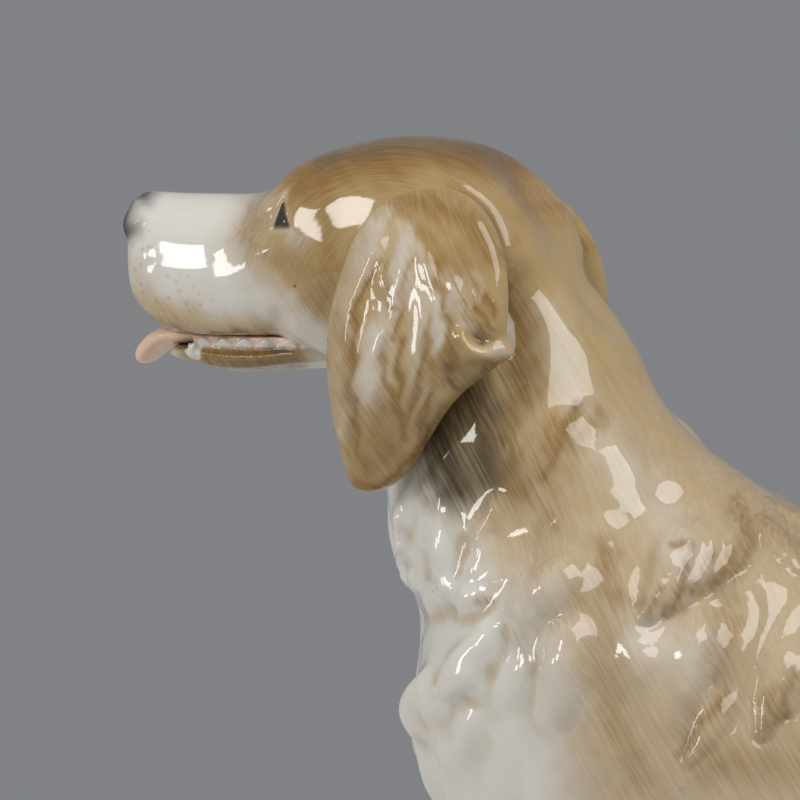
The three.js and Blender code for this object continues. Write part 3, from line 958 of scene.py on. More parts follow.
FRONT_HALF = 9 * MM  # half the width of the chest's front, which the picture hardly shows
SEEN_ACROSS, SEEN_DOWN = 830, 790  # pixels: how far the picture's own locks reach
COAT_TOP = 150 * MM  # no loose lock lies higher
COAT_FOOT = 17 * MM  # or lower on a leg
TRUNK_FOOT = 8 * MM  # or lower on the trunk
LEVEL = 0.9  # how upright the normal of a level place is
LEG_COAT, TAIL_COAT = 0.85, 0.9  # size of the locks there


def along_surface(way, normal):
    """A direction laid flat on the surface, with a length of 1."""
    flat = way - normal * (way @ normal)
    return flat / max(np.linalg.norm(flat), FAINT)


def coat_flow(point, normal, view):
    """The direction in which the hair lies at a point."""
    pixel = view.pixels(point[None, :])[0]
    across = down = 0.0
    for place, way in FLOW:
        weight = math.exp(-math.dist(pixel, place) ** 2 / FLOW_SPREAD**2 / 2.0) + FAINT
        across += weight * way[0]
        down += weight * way[1]
    way = np.array(view.right) * across - np.array(view.up) * down
    if point[1] > MIDDLE:
        way = way * (1.0, -1.0, 1.0)
    return along_surface(way, normal)


def tail_flow(point, normal, view):
    """Along the tail, round the middle of its curl."""
    along = (TAIL_LOW.x * 2.0 + TAIL_HIGH.x) / 3.0
    aside = (TAIL_LOW.y + TAIL_HIGH.y * 2.0) / 3.0
    way = np.cross(point - np.array((along, aside, 0.0)), (0.0, 0.0, 1.0))
    return along_surface(way, normal)


def scattered(points, candidates, spacing, chance):
    """Some of the candidate points, none closer together than the spacing."""
    kept = []
    places = np.zeros((0, 3))
    for index in chance.permutation(candidates)[:COAT_TRIES]:
        if len(kept) and (np.linalg.norm(places - points[index], axis=1) < spacing).any():
            continue
        kept.append(index)
        places = np.vstack([places, points[index]])
    return kept


def grow_coat(relief, tree, candidates, flow, chance, scale=1.0):
    """Lays loose locks over the candidate points, each following the lie of the hair."""
    clay = relief.clay
    view = Viewpoint(outlook())
    step = sizes().coat_length * scale / (COAT_STEPS - 1)
    roots = scattered(clay.points, candidates, sizes().coat_spacing * scale, chance)
    roots.sort(key=lambda index: clay.points[index, 2])
    for root in roots:
        spots = [clay.points[root]]
        normal = clay.normals[root]
        sway = chance.uniform(-COAT_SWAY, COAT_SWAY)
        for turn in range(COAT_STEPS - 1):
            way = flow(spots[-1], normal, view)
            way = way + np.cross(normal, way) * sway * math.cos(turn * SWAY_PACE)
            place, normal, _, _ = tree.find_nearest(Vector(spots[-1] + way * step))
            normal = np.array(normal)
            spots.append(np.array(place))
        size = chance.uniform(*COAT_SIZES) * scale
        relief.lock(Path(spots), sizes().coat_width * size, sizes().coat_height * size)


def press_coat(relief, pins, owner):
    """The loose locks on every part of the body that the picture's own locks leave free."""
    clay = relief.clay
    chance = np.random.default_rng(COAT_SEED)
    across, down = pins.view.pixels(clay.points).T
    height = clay.points[:, 2]
    front = np.abs(clay.points[:, 1] - MIDDLE) < FRONT_HALF
    seen = (down < SEEN_DOWN) & (across < SEEN_ACROSS) & ~front
    level = np.abs(clay.normals[:, 2]) > LEVEL
    free = ~seen & ~level & (height <= COAT_TOP)
    legs = ~belongs(owner, "trunk", "head", "tail")
    zones = (
        (free & belongs(owner, "trunk") & (height > TRUNK_FOOT), coat_flow, 1.0),
        (free & legs & (height >= COAT_FOOT), coat_flow, LEG_COAT),
        (belongs(owner, "tail"), tail_flow, TAIL_COAT),
    )
    for zone, flow, scale in zones:
        grow_coat(relief, pins.tree, np.flatnonzero(zone), flow, chance, scale)


# The paws

TOE_OFFSETS = (-0.26, 0.0, 0.26)  # places of the grooves between the toes, as shares of the paw's width
TOE_GROOVE = ((11.0, 14.0), (5.0, 11.0), (1.0, 5.5), (1.0, 0.5))  # mm behind the toes and mm up
TOE_RADIUS = 1.7 * MM
TOE_DEPTH = 1.0 * MM
PAW_LENGTH = 10 * MM  # the part of the foot that is measured for its width
PAW_HEIGHT = 8 * MM
PAW_AHEAD = 3 * MM  # room in front of the casting's box and beside it
PAW_ASIDE = 2 * MM
FOREPAW, HINDPAW = 21 * MM, 20 * MM  # widths
PAWS = (
    ("left_foreleg", FOREPAW),
    ("right_foreleg", FOREPAW),
    ("left_hind_leg", HINDPAW),
    ("right_hind_leg", HINDPAW),
)


def press_paw(relief, tree, node, width):
    """Cuts the grooves between a paw's toes."""
    low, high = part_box(node)
    along, aside, height = relief.clay.points.T
    paw = (along < low.x + PAW_LENGTH) & (along > low.x - PAW_AHEAD) & (height < PAW_HEIGHT)
    paw &= (aside > low.y - PAW_ASIDE) & (aside < high.y + PAW_ASIDE)
    middle = (aside[paw].min() + aside[paw].max()) / 2
    for offset in TOE_OFFSETS:
        line = []
        for back, up in TOE_GROOVE:
            start = Vector((low.x + back * MM, middle + offset * width, up * MM))
            line.append(tree.find_nearest(start)[0])
        relief.swell(Path(line), TOE_RADIUS, -TOE_DEPTH)


# What is brushed on the body, with its painted shade and painted highlights

WHITE_EDGE = (
    (190, 262),
    (215, 250),
    (240, 240),
    (262, 245),
    (290, 266),
    (315, 292),
    (345, 312),
    (375, 345),
    (400, 400),
    (440, 420),
    (480, 440),
    (560, 486),
    (640, 530),
    (720, 556),
    (800, 570),
    (1000, 610),
    (1300, 570),
)  # how far back the white of the muzzle and chest reaches: pixels down and across
WHITE_SOFTNESS = 42.0  # pixels
WASH_THINNING = ((300, 430, 540, 700), (1.0, 0.88, 0.78, 0.75))  # the wash's strength, by pixels down
BODY_STROKES = (
    Dab(((252, 205), (250, 240)), 12, 0.5),
    Dab(((256, 258), (288, 262)), 13, 0.25),
    Dab(((292, 190), (330, 176), (400, 170)), 18, 0.5),
    Dab(((300, 176), (345, 160), (420, 150), (500, 164), (550, 205)), 24, 1.0),
    Dab(((330, 156), (420, 144), (505, 160), (548, 196)), 14, 0.7),
    Dab(((326, 200), (328, 250), (322, 310)), 13, 0.5),
    Dab(((300, 250), (312, 300)), 12, 0.3),
    Dab(((450, 190), (490, 215), (505, 240)), 12, 0.35),
    Dab(((508, 280), (520, 340), (520, 400)), 17, 0.75),
    Dab(((578, 404), (546, 474)), 7, 0.85),
    Dab(((552, 425), (528, 495)), 11, 0.5),
    Dab(((598, 415), (572, 446)), 9, 0.5),
    Dab(((505, 420), (512, 490)), 18, 0.6),
    Dab(((560, 470), (548, 520)), 16, 0.3),
    Dab(((604, 540), (607, 588)), 10, 0.35),
    Dab(((735, 500), (748, 540), (735, 575)), 9, 0.6),
    Dab(((620, 596), (650, 606)), 8, 0.4),
    Dab(((672, 606), (686, 573), (688, 550), (674, 541)), 5, 0.7),
    Dab(((650, 612), (658, 590)), 4, 0.6),
    Dab(((693, 588), (708, 556)), 5, 0.6),
    Dab(((718, 580), (732, 545)), 6, 0.6),
    Dab(((722, 700), (700, 724), (680, 752)), 9, 0.6),
    Dab(((764, 730), (772, 690)), 7, 0.6),
    Dab(((780, 716), (792, 680)), 8, 0.6),
    Dab(((760, 520), (800, 545)), 14, 0.45),
    Dab(((735, 470), (800, 515)), 10, 0.3),
    Dab(((480, 598), (490, 602)), 5, 0.55),
    Dab(((546, 520), (536, 570)), 12, 0.25),
    Dab(((560, 620), (580, 600)), 10, 0.3),
    Dab(((520, 640), (530, 670)), 9, 0.25),
    Dab(((605, 560), (608, 700), (640, 780)), 18, 0.35),
    Dab(((728, 620), (722, 700)), 14, 0.45),
    Dab(((710, 760), (790, 770)), 24, 0.4),
    Dab(((146, 318), (172, 330), (205, 336), (262, 336), (276, 350)), 5, 0.9),
)
LIP_WASH = (
    Dab(((142, 304), (172, 320), (222, 328), (268, 330)), 15, 0.75),
    Dab(((136, 276), (150, 304), (190, 318)), 18, 0.35),
)
# Painted shade: the ear's shadow on the neck, a darker band behind the ear, the crown's upper edge and the
# mouth's corner.
BODY_SHADES = (
    Dab(((436, 395), (448, 440), (452, 490)), 24, 0.95),
    Dab(((470, 390), (486, 430), (486, 476)), 24, 0.8),
    Dab(((322, 158), (420, 142), (505, 156)), 13, 0.45),
    Dab(((505, 300), (512, 370)), 14, 0.35),
    Dab(((428, 430), (436, 480)), 12, 0.6),
    Dab(((274, 344), (279, 352)), 4, 0.6),
)
BODY_FRECKLES = (
    Dab(((142, 248), (150, 285), (168, 310)), 24, 0.9),
    Dab(((180, 292), (204, 312)), 20, 0.7),
)
# Wipes of the wash: paler paint on the cheek, the throat and under the eye, and painted highlights where
# the glaze's reflections lie on the neck, shoulder and chest.
PALE_AND_HIGHLIGHT_DABS = (
    Dab(((262, 296), (300, 322)), 18, 0.4),
    Dab(((318, 345), (330, 365)), 18, 0.9),
    Dab(((290, 236), (300, 244)), 9, 0.4),
    Dab(((550, 310), (578, 400)), 18, 0.3),
    Dab(((604, 445), (640, 490)), 26, 0.35),
    Dab(((665, 520), (690, 565)), 22, 0.35),
    Dab(((645, 640), (690, 660)), 32, 0.45),
    Dab(((540, 590), (560, 700)), 30, 0.45),
)
NOSE_INK = (
    Dab(((126, 232), (126, 208), (133, 194), (150, 189)), 8, 1.0),
    Dab(((133, 226), (138, 208), (148, 198)), 9, 0.3),
)
LEG_WHITE = (45 * MM, 90 * MM)  # heights between which the forelegs turn from white to tan
FOOT_WHITE = (6 * MM, 26 * MM)  # the same for whatever stands low
HOLLOW_FROM, HOLLOW_FULL = 120.0, 900.0  # how hollow a groove is where the pooled colour and painted shade start, and are full
POOL_AND_SHADE_ROUNDS = 5
POOL_SHADE_ON_WHITE, POOL_SHADE_ON_WASH = 0.03, 0.32  # how much brown gathers in the grooves, partly as pooled colour and partly as painted shade
VALLEY_FROM, VALLEY_FULL = 15.0, 160.0  # the same for the tan laid between the lumps of the chest as painted shade
VALLEY_ROUNDS = 16
VALLEY_SHADE = 0.55
CROWN_FOOT, CROWN_TOP = 300.0, 230.0  # pixel rows between which the strokes start to go round the skull
EYE_INK = 0.93
INK_EDGE = (0.8, 1.1)  # where the ink of an eye starts to fade and ends: 1 is the rim of the lids
STROKE_EDGE = (1.2, 2.2)  # and where the strokes round it begin and are full
PALE_RIM, PALE_RIM_WIDTH = 1.3, 0.25
PALE_RIM_WIPE = 0.2
WELL_OUTSIDE = 9.0  # an openness far from any eye


def body_wash(clay, owner, across, down):
    """How much wash there is, with none on the white of the muzzle, the chest and the feet."""
    edge = np.interp(down, *np.array(WHITE_EDGE, float).T)
    wash = smooth_step(-WHITE_SOFTNESS, WHITE_SOFTNESS, across - edge)
    height = clay.points[:, 2]
    forelegs = belongs(owner, "left_foreleg", "right_foreleg")
    wash *= np.where(forelegs, smooth_step(*LEG_WHITE, height), 1.0)
    wash *= smooth_step(*FOOT_WHITE, height)
    return wash


def paint_eye(paint, eye):
    """Inks an eye, and keeps the strokes and some of the wash off its rim."""
    points = paint.clay.points
    near = np.linalg.norm(points - eye.spot, axis=1) < EYE_REACH
    rim = np.where(near, eye.openness(points), WELL_OUTSIDE)
    ink = EYE_INK - EYE_INK * smooth_step(*INK_EDGE, rim)
    paint.layers["ink"] = np.maximum(paint.layers["ink"], ink)
    paint.layers["stroke"] *= smooth_step(*STROKE_EDGE, rim)
    beside = np.exp(-(((rim - PALE_RIM) / PALE_RIM_WIDTH) ** 2))
    paint.layers["wash"] *= 1.0 - PALE_RIM_WIPE * beside


def paint_body(clay, owner, both_eyes):
    """Lays the wash, the strokes, the painted shade and highlights, the freckles and the ink over the body.
    """
    paint = Paint(clay)
    across, down = paint.pixels.T
    wash = body_wash(clay, owner, across, down)
    paint.layers["wash"] = wash * np.interp(down, *WASH_THINNING)
    # Paler paint and painted highlights wiped out of the wash.
    paint.wipe("wash", PALE_AND_HIGHLIGHT_DABS)
    paint.dabs("wash", LIP_WASH)
    # Brown gathered in the grooves: partly pooled colour, partly painted shade.
    pool_and_shade = smooth_step(HOLLOW_FROM, HOLLOW_FULL, clay.hollowness(POOL_AND_SHADE_ROUNDS))
    paint.layers["stroke"] += pool_and_shade * (POOL_SHADE_ON_WHITE + POOL_SHADE_ON_WASH * wash)
    # Painted shade: tan laid between the lumps of the chest.
    valley_shade = smooth_step(VALLEY_FROM, VALLEY_FULL, clay.hollowness(VALLEY_ROUNDS))
    valley_shade *= belongs(owner, "trunk")
    paint.layers["wash"] = np.maximum(paint.layers["wash"], VALLEY_SHADE * valley_shade)
    paint.dabs("stroke", BODY_STROKES)
    paint.dabs("shade", BODY_SHADES)
    paint.dabs("freckle", BODY_FRECKLES)
    paint.dabs("ink", NOSE_INK)
    for eye in both_eyes:
        paint_eye(paint, eye)
    paint.layers["turn"] = smooth_step(CROWN_FOOT, CROWN_TOP, down)
    paint.write()


# Pieces


def piece_object(name, mesh, node, material):
    mesh.materials.clear()
    mesh.materials.append(material)
    mesh.shade_smooth()
    obj = bpy.data.objects.new(name, mesh)
    bpy.context.scene.collection.objects.link(obj)
    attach(obj, "root")
    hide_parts(node)
    return obj


def boundary_loops(bm):
    """The open edges of a mesh in connected groups."""
    left = {e for e in bm.edges if e.is_boundary}
    while left:
        group = [left.pop()]
        for edge in group:
            for vertex in edge.verts:
                for other in vertex.link_edges:
                    if other in left:
                        left.remove(other)
                        group.append(other)
        yield group


def cap(bm):
    """Closes every open edge of a mesh to the middle of its loop, inside the figure."""
    for loop in list(boundary_loops(bm)):
        rim = {v for e in loop for v in e.verts}
        middle = sum((v.co for v in rim), Vector()) / len(rim)
        made = bmesh.ops.extrude_edge_only(bm, edges=loop)["geom"]
        fresh = [g for g in made if isinstance(g, bmesh.types.BMVert)]
        bmesh.ops.pointmerge(bm, verts=fresh, merge_co=middle)


def face_owners(mesh, owner):
    """For each face, the lowest casting number among its corners."""
    starts = np.zeros(len(mesh.polygons), int)
    mesh.polygons.foreach_get("loop_start", starts)
    corners = np.zeros(len(mesh.loops), int)
    mesh.loops.foreach_get("vertex_index", corners)
    return np.minimum.reduceat(owner[corners], starts)


def split_body(clay, owner):
    """Cuts the skin along the castings' seams into closed pieces whose shading runs on across the seams."""
    mesh = clay.mesh
    smooth = mesh.attributes.new("smooth", "FLOAT_VECTOR", "POINT")
    smooth.data.foreach_set("vector", clay.normals.ravel())
    of_face = face_owners(mesh, owner)
    for index, name in enumerate(BODY_NODES):
        bm = bmesh.new()
        bm.from_mesh(mesh)
        bm.faces.ensure_lookup_table()
        foreign = [bm.faces[i] for i in np.flatnonzero(of_face != index)]
        bmesh.ops.delete(bm, geom=foreign, context="FACES")
        cap(bm)
        part = bpy.data.meshes.new(name + "_glazed")
        bm.to_mesh(part)
        bm.free()
        normals = np.zeros(len(part.vertices) * 3)
        part.attributes["smooth"].data.foreach_get("vector", normals)
        piece_object(name + "_glazed", part, name, glaze(SLOT_OF[name]))
        part.normals_split_custom_set_from_vertices(normals.reshape(-1, 3).tolist())
        part.attributes.remove(part.attributes["smooth"])
    bpy.data.meshes.remove(mesh)


def make_body():
    clay = body_skin()
    trim_muzzle(clay)
    pins = Pins(clay)
    owner = nearest_nodes(clay.points)
    both_eyes = eyes(clay, pins)
    relief = Relief(clay)
    press_swells(relief, pins, BODY_SWELLS + FACE_SWELLS)
    press_nose(relief, pins)
    press_coat(relief, pins, owner)
    press_locks(relief, pins, SHOULDER_LOCKS)
    for node, width in PAWS:
        press_paw(relief, pins.tree, node, width)
    press_eyes(relief, both_eyes)
    relief.press()
    clay.points[:, 2] = np.maximum(clay.points[:, 2], 0.0)
    clay.write()
    paint_body(clay, owner, both_eyes)
    split_body(clay, owner)


# The ears

EAR_STRANDS = (
    Strand(((388, 212), (364, 258), (346, 306), (339, 360), (343, 430), (354, 476)), 13),
    Strand(((377, 226), (375, 262), (381, 306)), 11),
    Strand(((403, 226), (399, 262), (391, 300), (385, 340)), 10),
    Strand(((410, 228), (422, 262), (433, 294), (438, 320), (438, 348), (446, 388)), 9),
    Strand(((414, 276), (420, 318), (417, 350), (404, 402), (396, 440)), 9),
    Strand(((381, 312), (369, 355), (371, 385), (388, 416)), 15),
    Strand(((446, 268), (454, 302), (464, 322), (480, 340)), 9),
    Strand(((462, 280), (472, 306), (484, 328)), 7),
    Strand(((474, 270), (482, 296), (490, 316)), 6),
    Strand(((392, 312), (393, 342), (389, 380), (394, 430)), 9),
    Strand(((423, 368), (420, 396), (408, 436)), 10),
)
STRAND_SLOPE = math.tan(math.radians(20.0))  # how steeply a strand rises across itself
STRAND_ACROSS = (-1.0, 0.75, 1.2)  # where a strand starts, is highest and ends, in half widths
STRAND_ENDS = (0.25, 0.7)  # shares of its length where it has risen and where it starts to sink
STRAND_FACING = 0.3  # how squarely the skin has to face the picture to carry strands in full
PIXEL = 0.157 * MM  # what one pixel spans on the figure
EAR_SWELLS = (
    Swell(((464, 338), (474, 350), (490, 356), (505, 354)), 2.6, 1.4),
    Swell(((440, 198), (474, 220), (492, 256), (498, 300), (496, 326)), 2.6, 0.7),
    Swell(((354, 482), (372, 485), (394, 473), (411, 453), (428, 428), (440, 400)), 2.4, 0.7),
    Swell(((473, 337), (481, 342)), 2.0, -1.6),
    Swell(((456, 374), (476, 370), (496, 364)), 3.0, -1.2),
)
EAR_STROKES = (
    Dab(((400, 200), (440, 206), (474, 226), (490, 258)), 15, 0.7),
    Dab(((352, 484), (371, 487), (394, 476), (411, 456), (430, 429)), 7, 0.95),
    Dab(((376, 408), (384, 450)), 19, 0.65),
    Dab(((405, 400), (425, 376), (444, 362)), 12, 0.6),
    Dab(((340, 320), (346, 400), (350, 450)), 8, 0.6),
    Dab(((446, 330), (454, 366)), 9, 0.6),
    Dab(((458, 250), (480, 300)), 10, 0.35),
    Dab(((360, 470), (392, 460)), 13, 0.45),
    Dab(((420, 232), (452, 262)), 12, 0.4),
    Dab(((436, 258), (456, 284)), 8, 0.45),
)
EAR_WASH = 1.0  # how much of each colour lies all over the ears
EAR_STROKE = 0.06
EAR_CREASE = 4.0  # half the width of the brown along a strand's edge, in pixels: partly paint and partly painted shade in the crease
EAR_CREASE_AMOUNT = 0.8
EAR_CREST_AMOUNT = 0.3  # how much of the colour is taken off along a strand, partly thinner paint and partly a painted highlight
EAR_CREST = 0.7  # half the width of that, as a share of the strand's
EAR_POOL_AND_SHADE = 0.7  # how much brown gathers in a groove, partly as pooled colour and partly as painted shade
EAR_POOL_AND_SHADE_ROUNDS = 6
# Painted shade in the ear's hollows: under the curl, in its dark hole and at the lower edge.
EAR_SHADES = (
    Dab(((450, 384), (480, 376), (500, 366)), 8, 0.5),
    Dab(((426, 440), (440, 408)), 5, 0.5),
    Dab(((475, 337), (481, 341)), 4, 0.7),
)
# Paler places on the ears: partly paler paint, partly painted highlights where the glaze's reflections lie
# on the lobes and the curl.
EAR_PALE_AND_HIGHLIGHTS = (
    Dab(((372, 216), (354, 262)), 16, 0.25),
    Dab(((402, 246), (400, 300)), 13, 0.5),
    Dab(((372, 338), (366, 396)), 13, 0.6),
    Dab(((433, 296), (437, 340)), 9, 0.5),
    Dab(((414, 300), (414, 345)), 8, 0.3),
    Dab(((484, 352), (506, 353)), 8, 0.4),
    Dab(((454, 290), (474, 326)), 6, 0.3),
)


def lay_strands(clay, relief):
    """Raises each strand like a lap: slowly across itself and then down into a crease."""
    view = Viewpoint(outlook())
    across, down = view.pixels(clay.points).T
    outside = smooth_step(0.0, STRAND_FACING, clay.normals @ -np.array(view.look))
    risen, sinking = STRAND_ENDS
    start, peak, _ = STRAND_ACROSS
    for strand in EAR_STRANDS:
        line = np.array(strand.pixels, float)
        place = (across - np.interp(down, line[:, 1], line[:, 0])) / strand.radius
        share = (down - line[0, 1]) / (line[-1, 1] - line[0, 1])
        ends = smooth_step(0.0, risen, share) * smooth_step(1.0, sinking, share)
        rise = np.interp(place, STRAND_ACROSS, (0.0, 1.0, 0.0))
        height = STRAND_SLOPE * strand.radius * PIXEL * (peak - start)
        relief.height += outside * ends * rise * height


def creases():
    """A dab along the far edge of every strand: brown paint and painted shade in its crease."""
    for strand in EAR_STRANDS:
        line = [(x + strand.radius, y) for x, y in strand.pixels[1:]]
        yield Dab(line, EAR_CREASE, EAR_CREASE_AMOUNT)


def crests():
    """A dab along the middle of every strand, where paint is taken off: thinner paint and a painted
    highlight.
    """
    for strand in EAR_STRANDS:
        yield Dab(strand.pixels[:-1], EAR_CREST * strand.radius, EAR_CREST_AMOUNT)


def paint_ear(clay):
    paint = Paint(clay)
    paint.layers["wash"] += EAR_WASH
    paint.layers["stroke"] += EAR_STROKE
    paint.wipe("wash", EAR_PALE_AND_HIGHLIGHTS)
    paint.dabs("stroke", EAR_STROKES)
    paint.wipe("stroke", crests())
    paint.wipe("wash", crests())
    paint.dabs("stroke", creases())
    paint.wipe("stroke", EAR_PALE_AND_HIGHLIGHTS)
    paint.dabs("shade", EAR_SHADES)
    # Brown gathered in the grooves: partly pooled colour, partly painted shade.
    pool_and_shade = smooth_step(HOLLOW_FROM, HOLLOW_FULL, clay.hollowness(EAR_POOL_AND_SHADE_ROUNDS))
    paint.layers["stroke"] = np.maximum(paint.layers["stroke"], EAR_POOL_AND_SHADE * pool_and_shade)
    paint.write()


def other_side(mesh, name):
    """A mesh mirrored to the dog's right side, with its faces turned out again."""
    bm = bmesh.new()
    bm.from_mesh(mesh)
    flip = Matrix.Translation((0.0, 2.0 * MIDDLE, 0.0)) @ Matrix.Diagonal((1.0, -1.0, 1.0, 1.0))
    bmesh.ops.transform(bm, matrix=flip, verts=bm.verts)
    bmesh.ops.reverse_faces(bm, faces=bm.faces)
    result = bpy.data.meshes.new(name)
    bm.to_mesh(result)
    bm.free()
    return result


EAR_SWELL = 0.5 * MM  # how far an ear's skin stands out before it is smoothed
EAR_ROUNDS = 40
STRAND_ROUNDS = 3  # how far the strands are smoothed before they are pressed in
LAST_ROUNDS = 6


def make_ears():
    mesh = remeshed(castings(["left_ear"], EAR_SWELL), sizes().ear_grain)
    clay = Clay(mesh)
    clay.relax(EAR_ROUNDS)
    pins = Pins(clay)
    relief = Relief(clay)
    lay_strands(clay, relief)
    for swell in EAR_SWELLS:
        relief.swell(pins.both(swell.pixels)[0], swell.radius * MM, swell.height * MM)
    relief.press(STRAND_ROUNDS)
    clay.relax(LAST_ROUNDS)
    clay.write()
    paint_ear(clay)
    right = other_side(mesh, "right_ear_glazed")
    piece_object("left_ear_glazed", mesh, "left_ear", glaze(SLOT_OF["left_ear"]))
    piece_object("right_ear_glazed", right, "right_ear", glaze(SLOT_OF["right_ear"]))


# The mouth

MOUTH_SWELL = 0.1 * MM  # how far the skin of the jaw and the tongue stands out before it is smoothed
JAW_ROUNDS = 12
LIP_ROUNDS = 6
JAW_FRONT = 2.0 * MM  # how far the chin comes forward of its casting
CHIN_LIFT = 1.2 * MM  # and how far up
CHIN_SHARE = 0.3  # how much of the jaw's length that takes in
LIP_LIFT = 1.3 * MM  # how far the lower lip stands up along the sides
LIP_SIDES = (5.0 * MM, 9.0 * MM)  # from the middle plane: where the lip starts to rise and is full
LIP_FOOT = 1.0 * MM  # above the middle of the jaw's depth: where the lift is full
REAR_LIFT = 0.4 * MM  # how much further up behind the corner of the mouth
REAR_SHARES = (0.55, 0.75)  # of the jaw's length
GUM_FORWARD = (0.835, 0.545)  # where the gums start and end, as shares of the head's length
GUM_INSET = 0.5 * MM  # from the outside of the lip to the gums
GUM_HEIGHT = 3.4 * MM
GUM_THICKNESS = 1.2 * MM
GUM_POINTS = 14
GUM_EDGE = (-0.1 * MM, 0.3 * MM)  # above the casting: where the gums start and are full
TOOTH_PIXEL = (203, 344)  # middle of the first cheek tooth
TOOTH_SPACING = 3.9 * MM
TOOTH_HEIGHT = 1.5 * MM
TOOTH_SWELL = 0.35 * MM
TOOTH_POINT = 1.6  # the higher it is, the squarer the tooth
TOOTH_EDGE = (-0.25 * MM, 0.1 * MM)
FANG_PIXEL = (180, 338)
FANG_HALF = (1.2 * MM, 0.9 * MM, 1.15 * MM)
FANG_INWARD = 0.6  # how far in it stands, as a share of its half width
FANG_SEGMENTS, FANG_RINGS = 16, 10
FANG_FADE = (1.4 * MM, 2.2 * MM)  # distances between which the white of a fang ends
JAW_WASH = (
    Dab(((186, 354), (240, 360), (300, 358)), 15, 0.9),
)
JAW_STROKES = (
    Dab(((188, 350), (205, 353), (235, 354), (262, 353), (292, 350)), 7, 1.0),
    # This dab browns the chin's underside: partly paint, partly painted shade.
    Dab(((196, 360), (240, 363), (292, 359)), 8, 0.85),
)
# Painted shade at the mouth's corner and under the chin.
JAW_SHADES = (
    Dab(((268, 349), (284, 352)), 5, 0.5),
    Dab(((205, 368), (250, 370), (300, 366)), 7, 0.45),
)


def shape_jaw(clay):
    """Raises the lips along the jaw's sides, and rakes the chin forward and up."""
    spots = clay.points
    along = (spots[:, 0] - JAW_LOW.x) / (JAW_HIGH.x - JAW_LOW.x)
    side = np.abs(spots[:, 1] - MIDDLE)
    belly = (JAW_LOW.z + JAW_HIGH.z) / 2
    upper = smooth_step(JAW_LOW.z, belly + LIP_FOOT, spots[:, 2])
    rim = smooth_step(*LIP_SIDES, side)
    front = 1.0 - smooth_step(0.0, CHIN_SHARE, along)
    rear = smooth_step(*REAR_SHARES, along)
    spots[:, 2] += (LIP_LIFT + REAR_LIFT * rear) * upper * rim + CHIN_LIFT * front * (1.0 - upper)
    spots[:, 0] -= JAW_FRONT * front * (0.5 + 0.5 * upper)
    clay.find_normals()


def gum_line(clay):
    """The left side's line of the gums, a little inside the lip's outside."""
    line = []
    for forward in np.linspace(*GUM_FORWARD, GUM_POINTS):
        x = head_point(forward, 0.0, 0.0)[0]
        slice_points = clay.points[np.abs(clay.points[:, 0] - x) < sizes().mouth_grain]
        outer = slice_points[:, 1].min() + GUM_INSET + GUM_THICKNESS / 2
        line.append(Vector((x, outer, JAW_HIGH.z - TOOTH_HEIGHT)))
    return line


def add_gums(bm, line):
    """Raises a thin wall along a line, and the same wall on the right side."""
    for side in (line, [Vector(point) for point in mirrored(line).tolist()]):
        verts = [bm.verts.new(point) for point in side]
        edges = [bm.edges.new(pair) for pair in zip(verts, verts[1:])]
        made = bmesh.ops.extrude_edge_only(bm, edges=edges)["geom"]
        top = [item for item in made if isinstance(item, bmesh.types.BMVert)]
        bmesh.ops.translate(bm, verts=top, vec=Vector((0.0, 0.0, GUM_HEIGHT)))
        faces = [item for item in made if isinstance(item, bmesh.types.BMFace)]
        bmesh.ops.recalc_face_normals(bm, faces=faces)
        bmesh.ops.solidify(bm, geom=faces, thickness=GUM_THICKNESS)


def add_fang(bm, spot, inward):
    """Adds the rounded front tooth, a little way in from the jaw's outer side."""
    made = bmesh.ops.create_uvsphere(
        bm, u_segments=FANG_SEGMENTS, v_segments=FANG_RINGS, radius=1.0
    )
    scale = Matrix.Diagonal((*FANG_HALF, 1.0))
    place = Matrix.Translation(Vector((spot[0], spot[1] + inward, spot[2])))
    bmesh.ops.transform(bm, matrix=place @ scale, verts=made["verts"])


def jaw_skin():
    """The lower jaw with its lips, gums and front teeth as one skin, and where the front teeth stand."""
    clay = Clay(remeshed(castings(["lower_jaw"], MOUTH_SWELL), sizes().mouth_grain))
    clay.settle(JAW_ROUNDS)
    shape_jaw(clay)
    clay.settle(LIP_ROUNDS)
    clay.write()
    fang = np.array(Pins(clay).spot(FANG_PIXEL))
    bm = bmesh.new()
    bm.from_mesh(clay.mesh)
    bpy.data.meshes.remove(clay.mesh)
    add_gums(bm, gum_line(clay))
    inward = FANG_HALF[1] * FANG_INWARD
    add_fang(bm, fang, inward)
    add_fang(bm, mirrored(fang), -inward)
    return remeshed(bm, sizes().mouth_grain), np.array((fang, mirrored(fang)))


def teeth(clay, pins):
    """How much of a cheek tooth each point of the gums is."""
    first = pins.spot(TOOTH_PIXEL)[0]
    phase = (clay.points[:, 0] - first) / TOOTH_SPACING
    off_middle = np.abs(phase - np.round(phase)) * 2.0
    outline = JAW_HIGH.z + TOOTH_HEIGHT * (1.0 - off_middle**TOOTH_POINT)
    return smooth_step(*TOOTH_EDGE, outline - clay.points[:, 2])


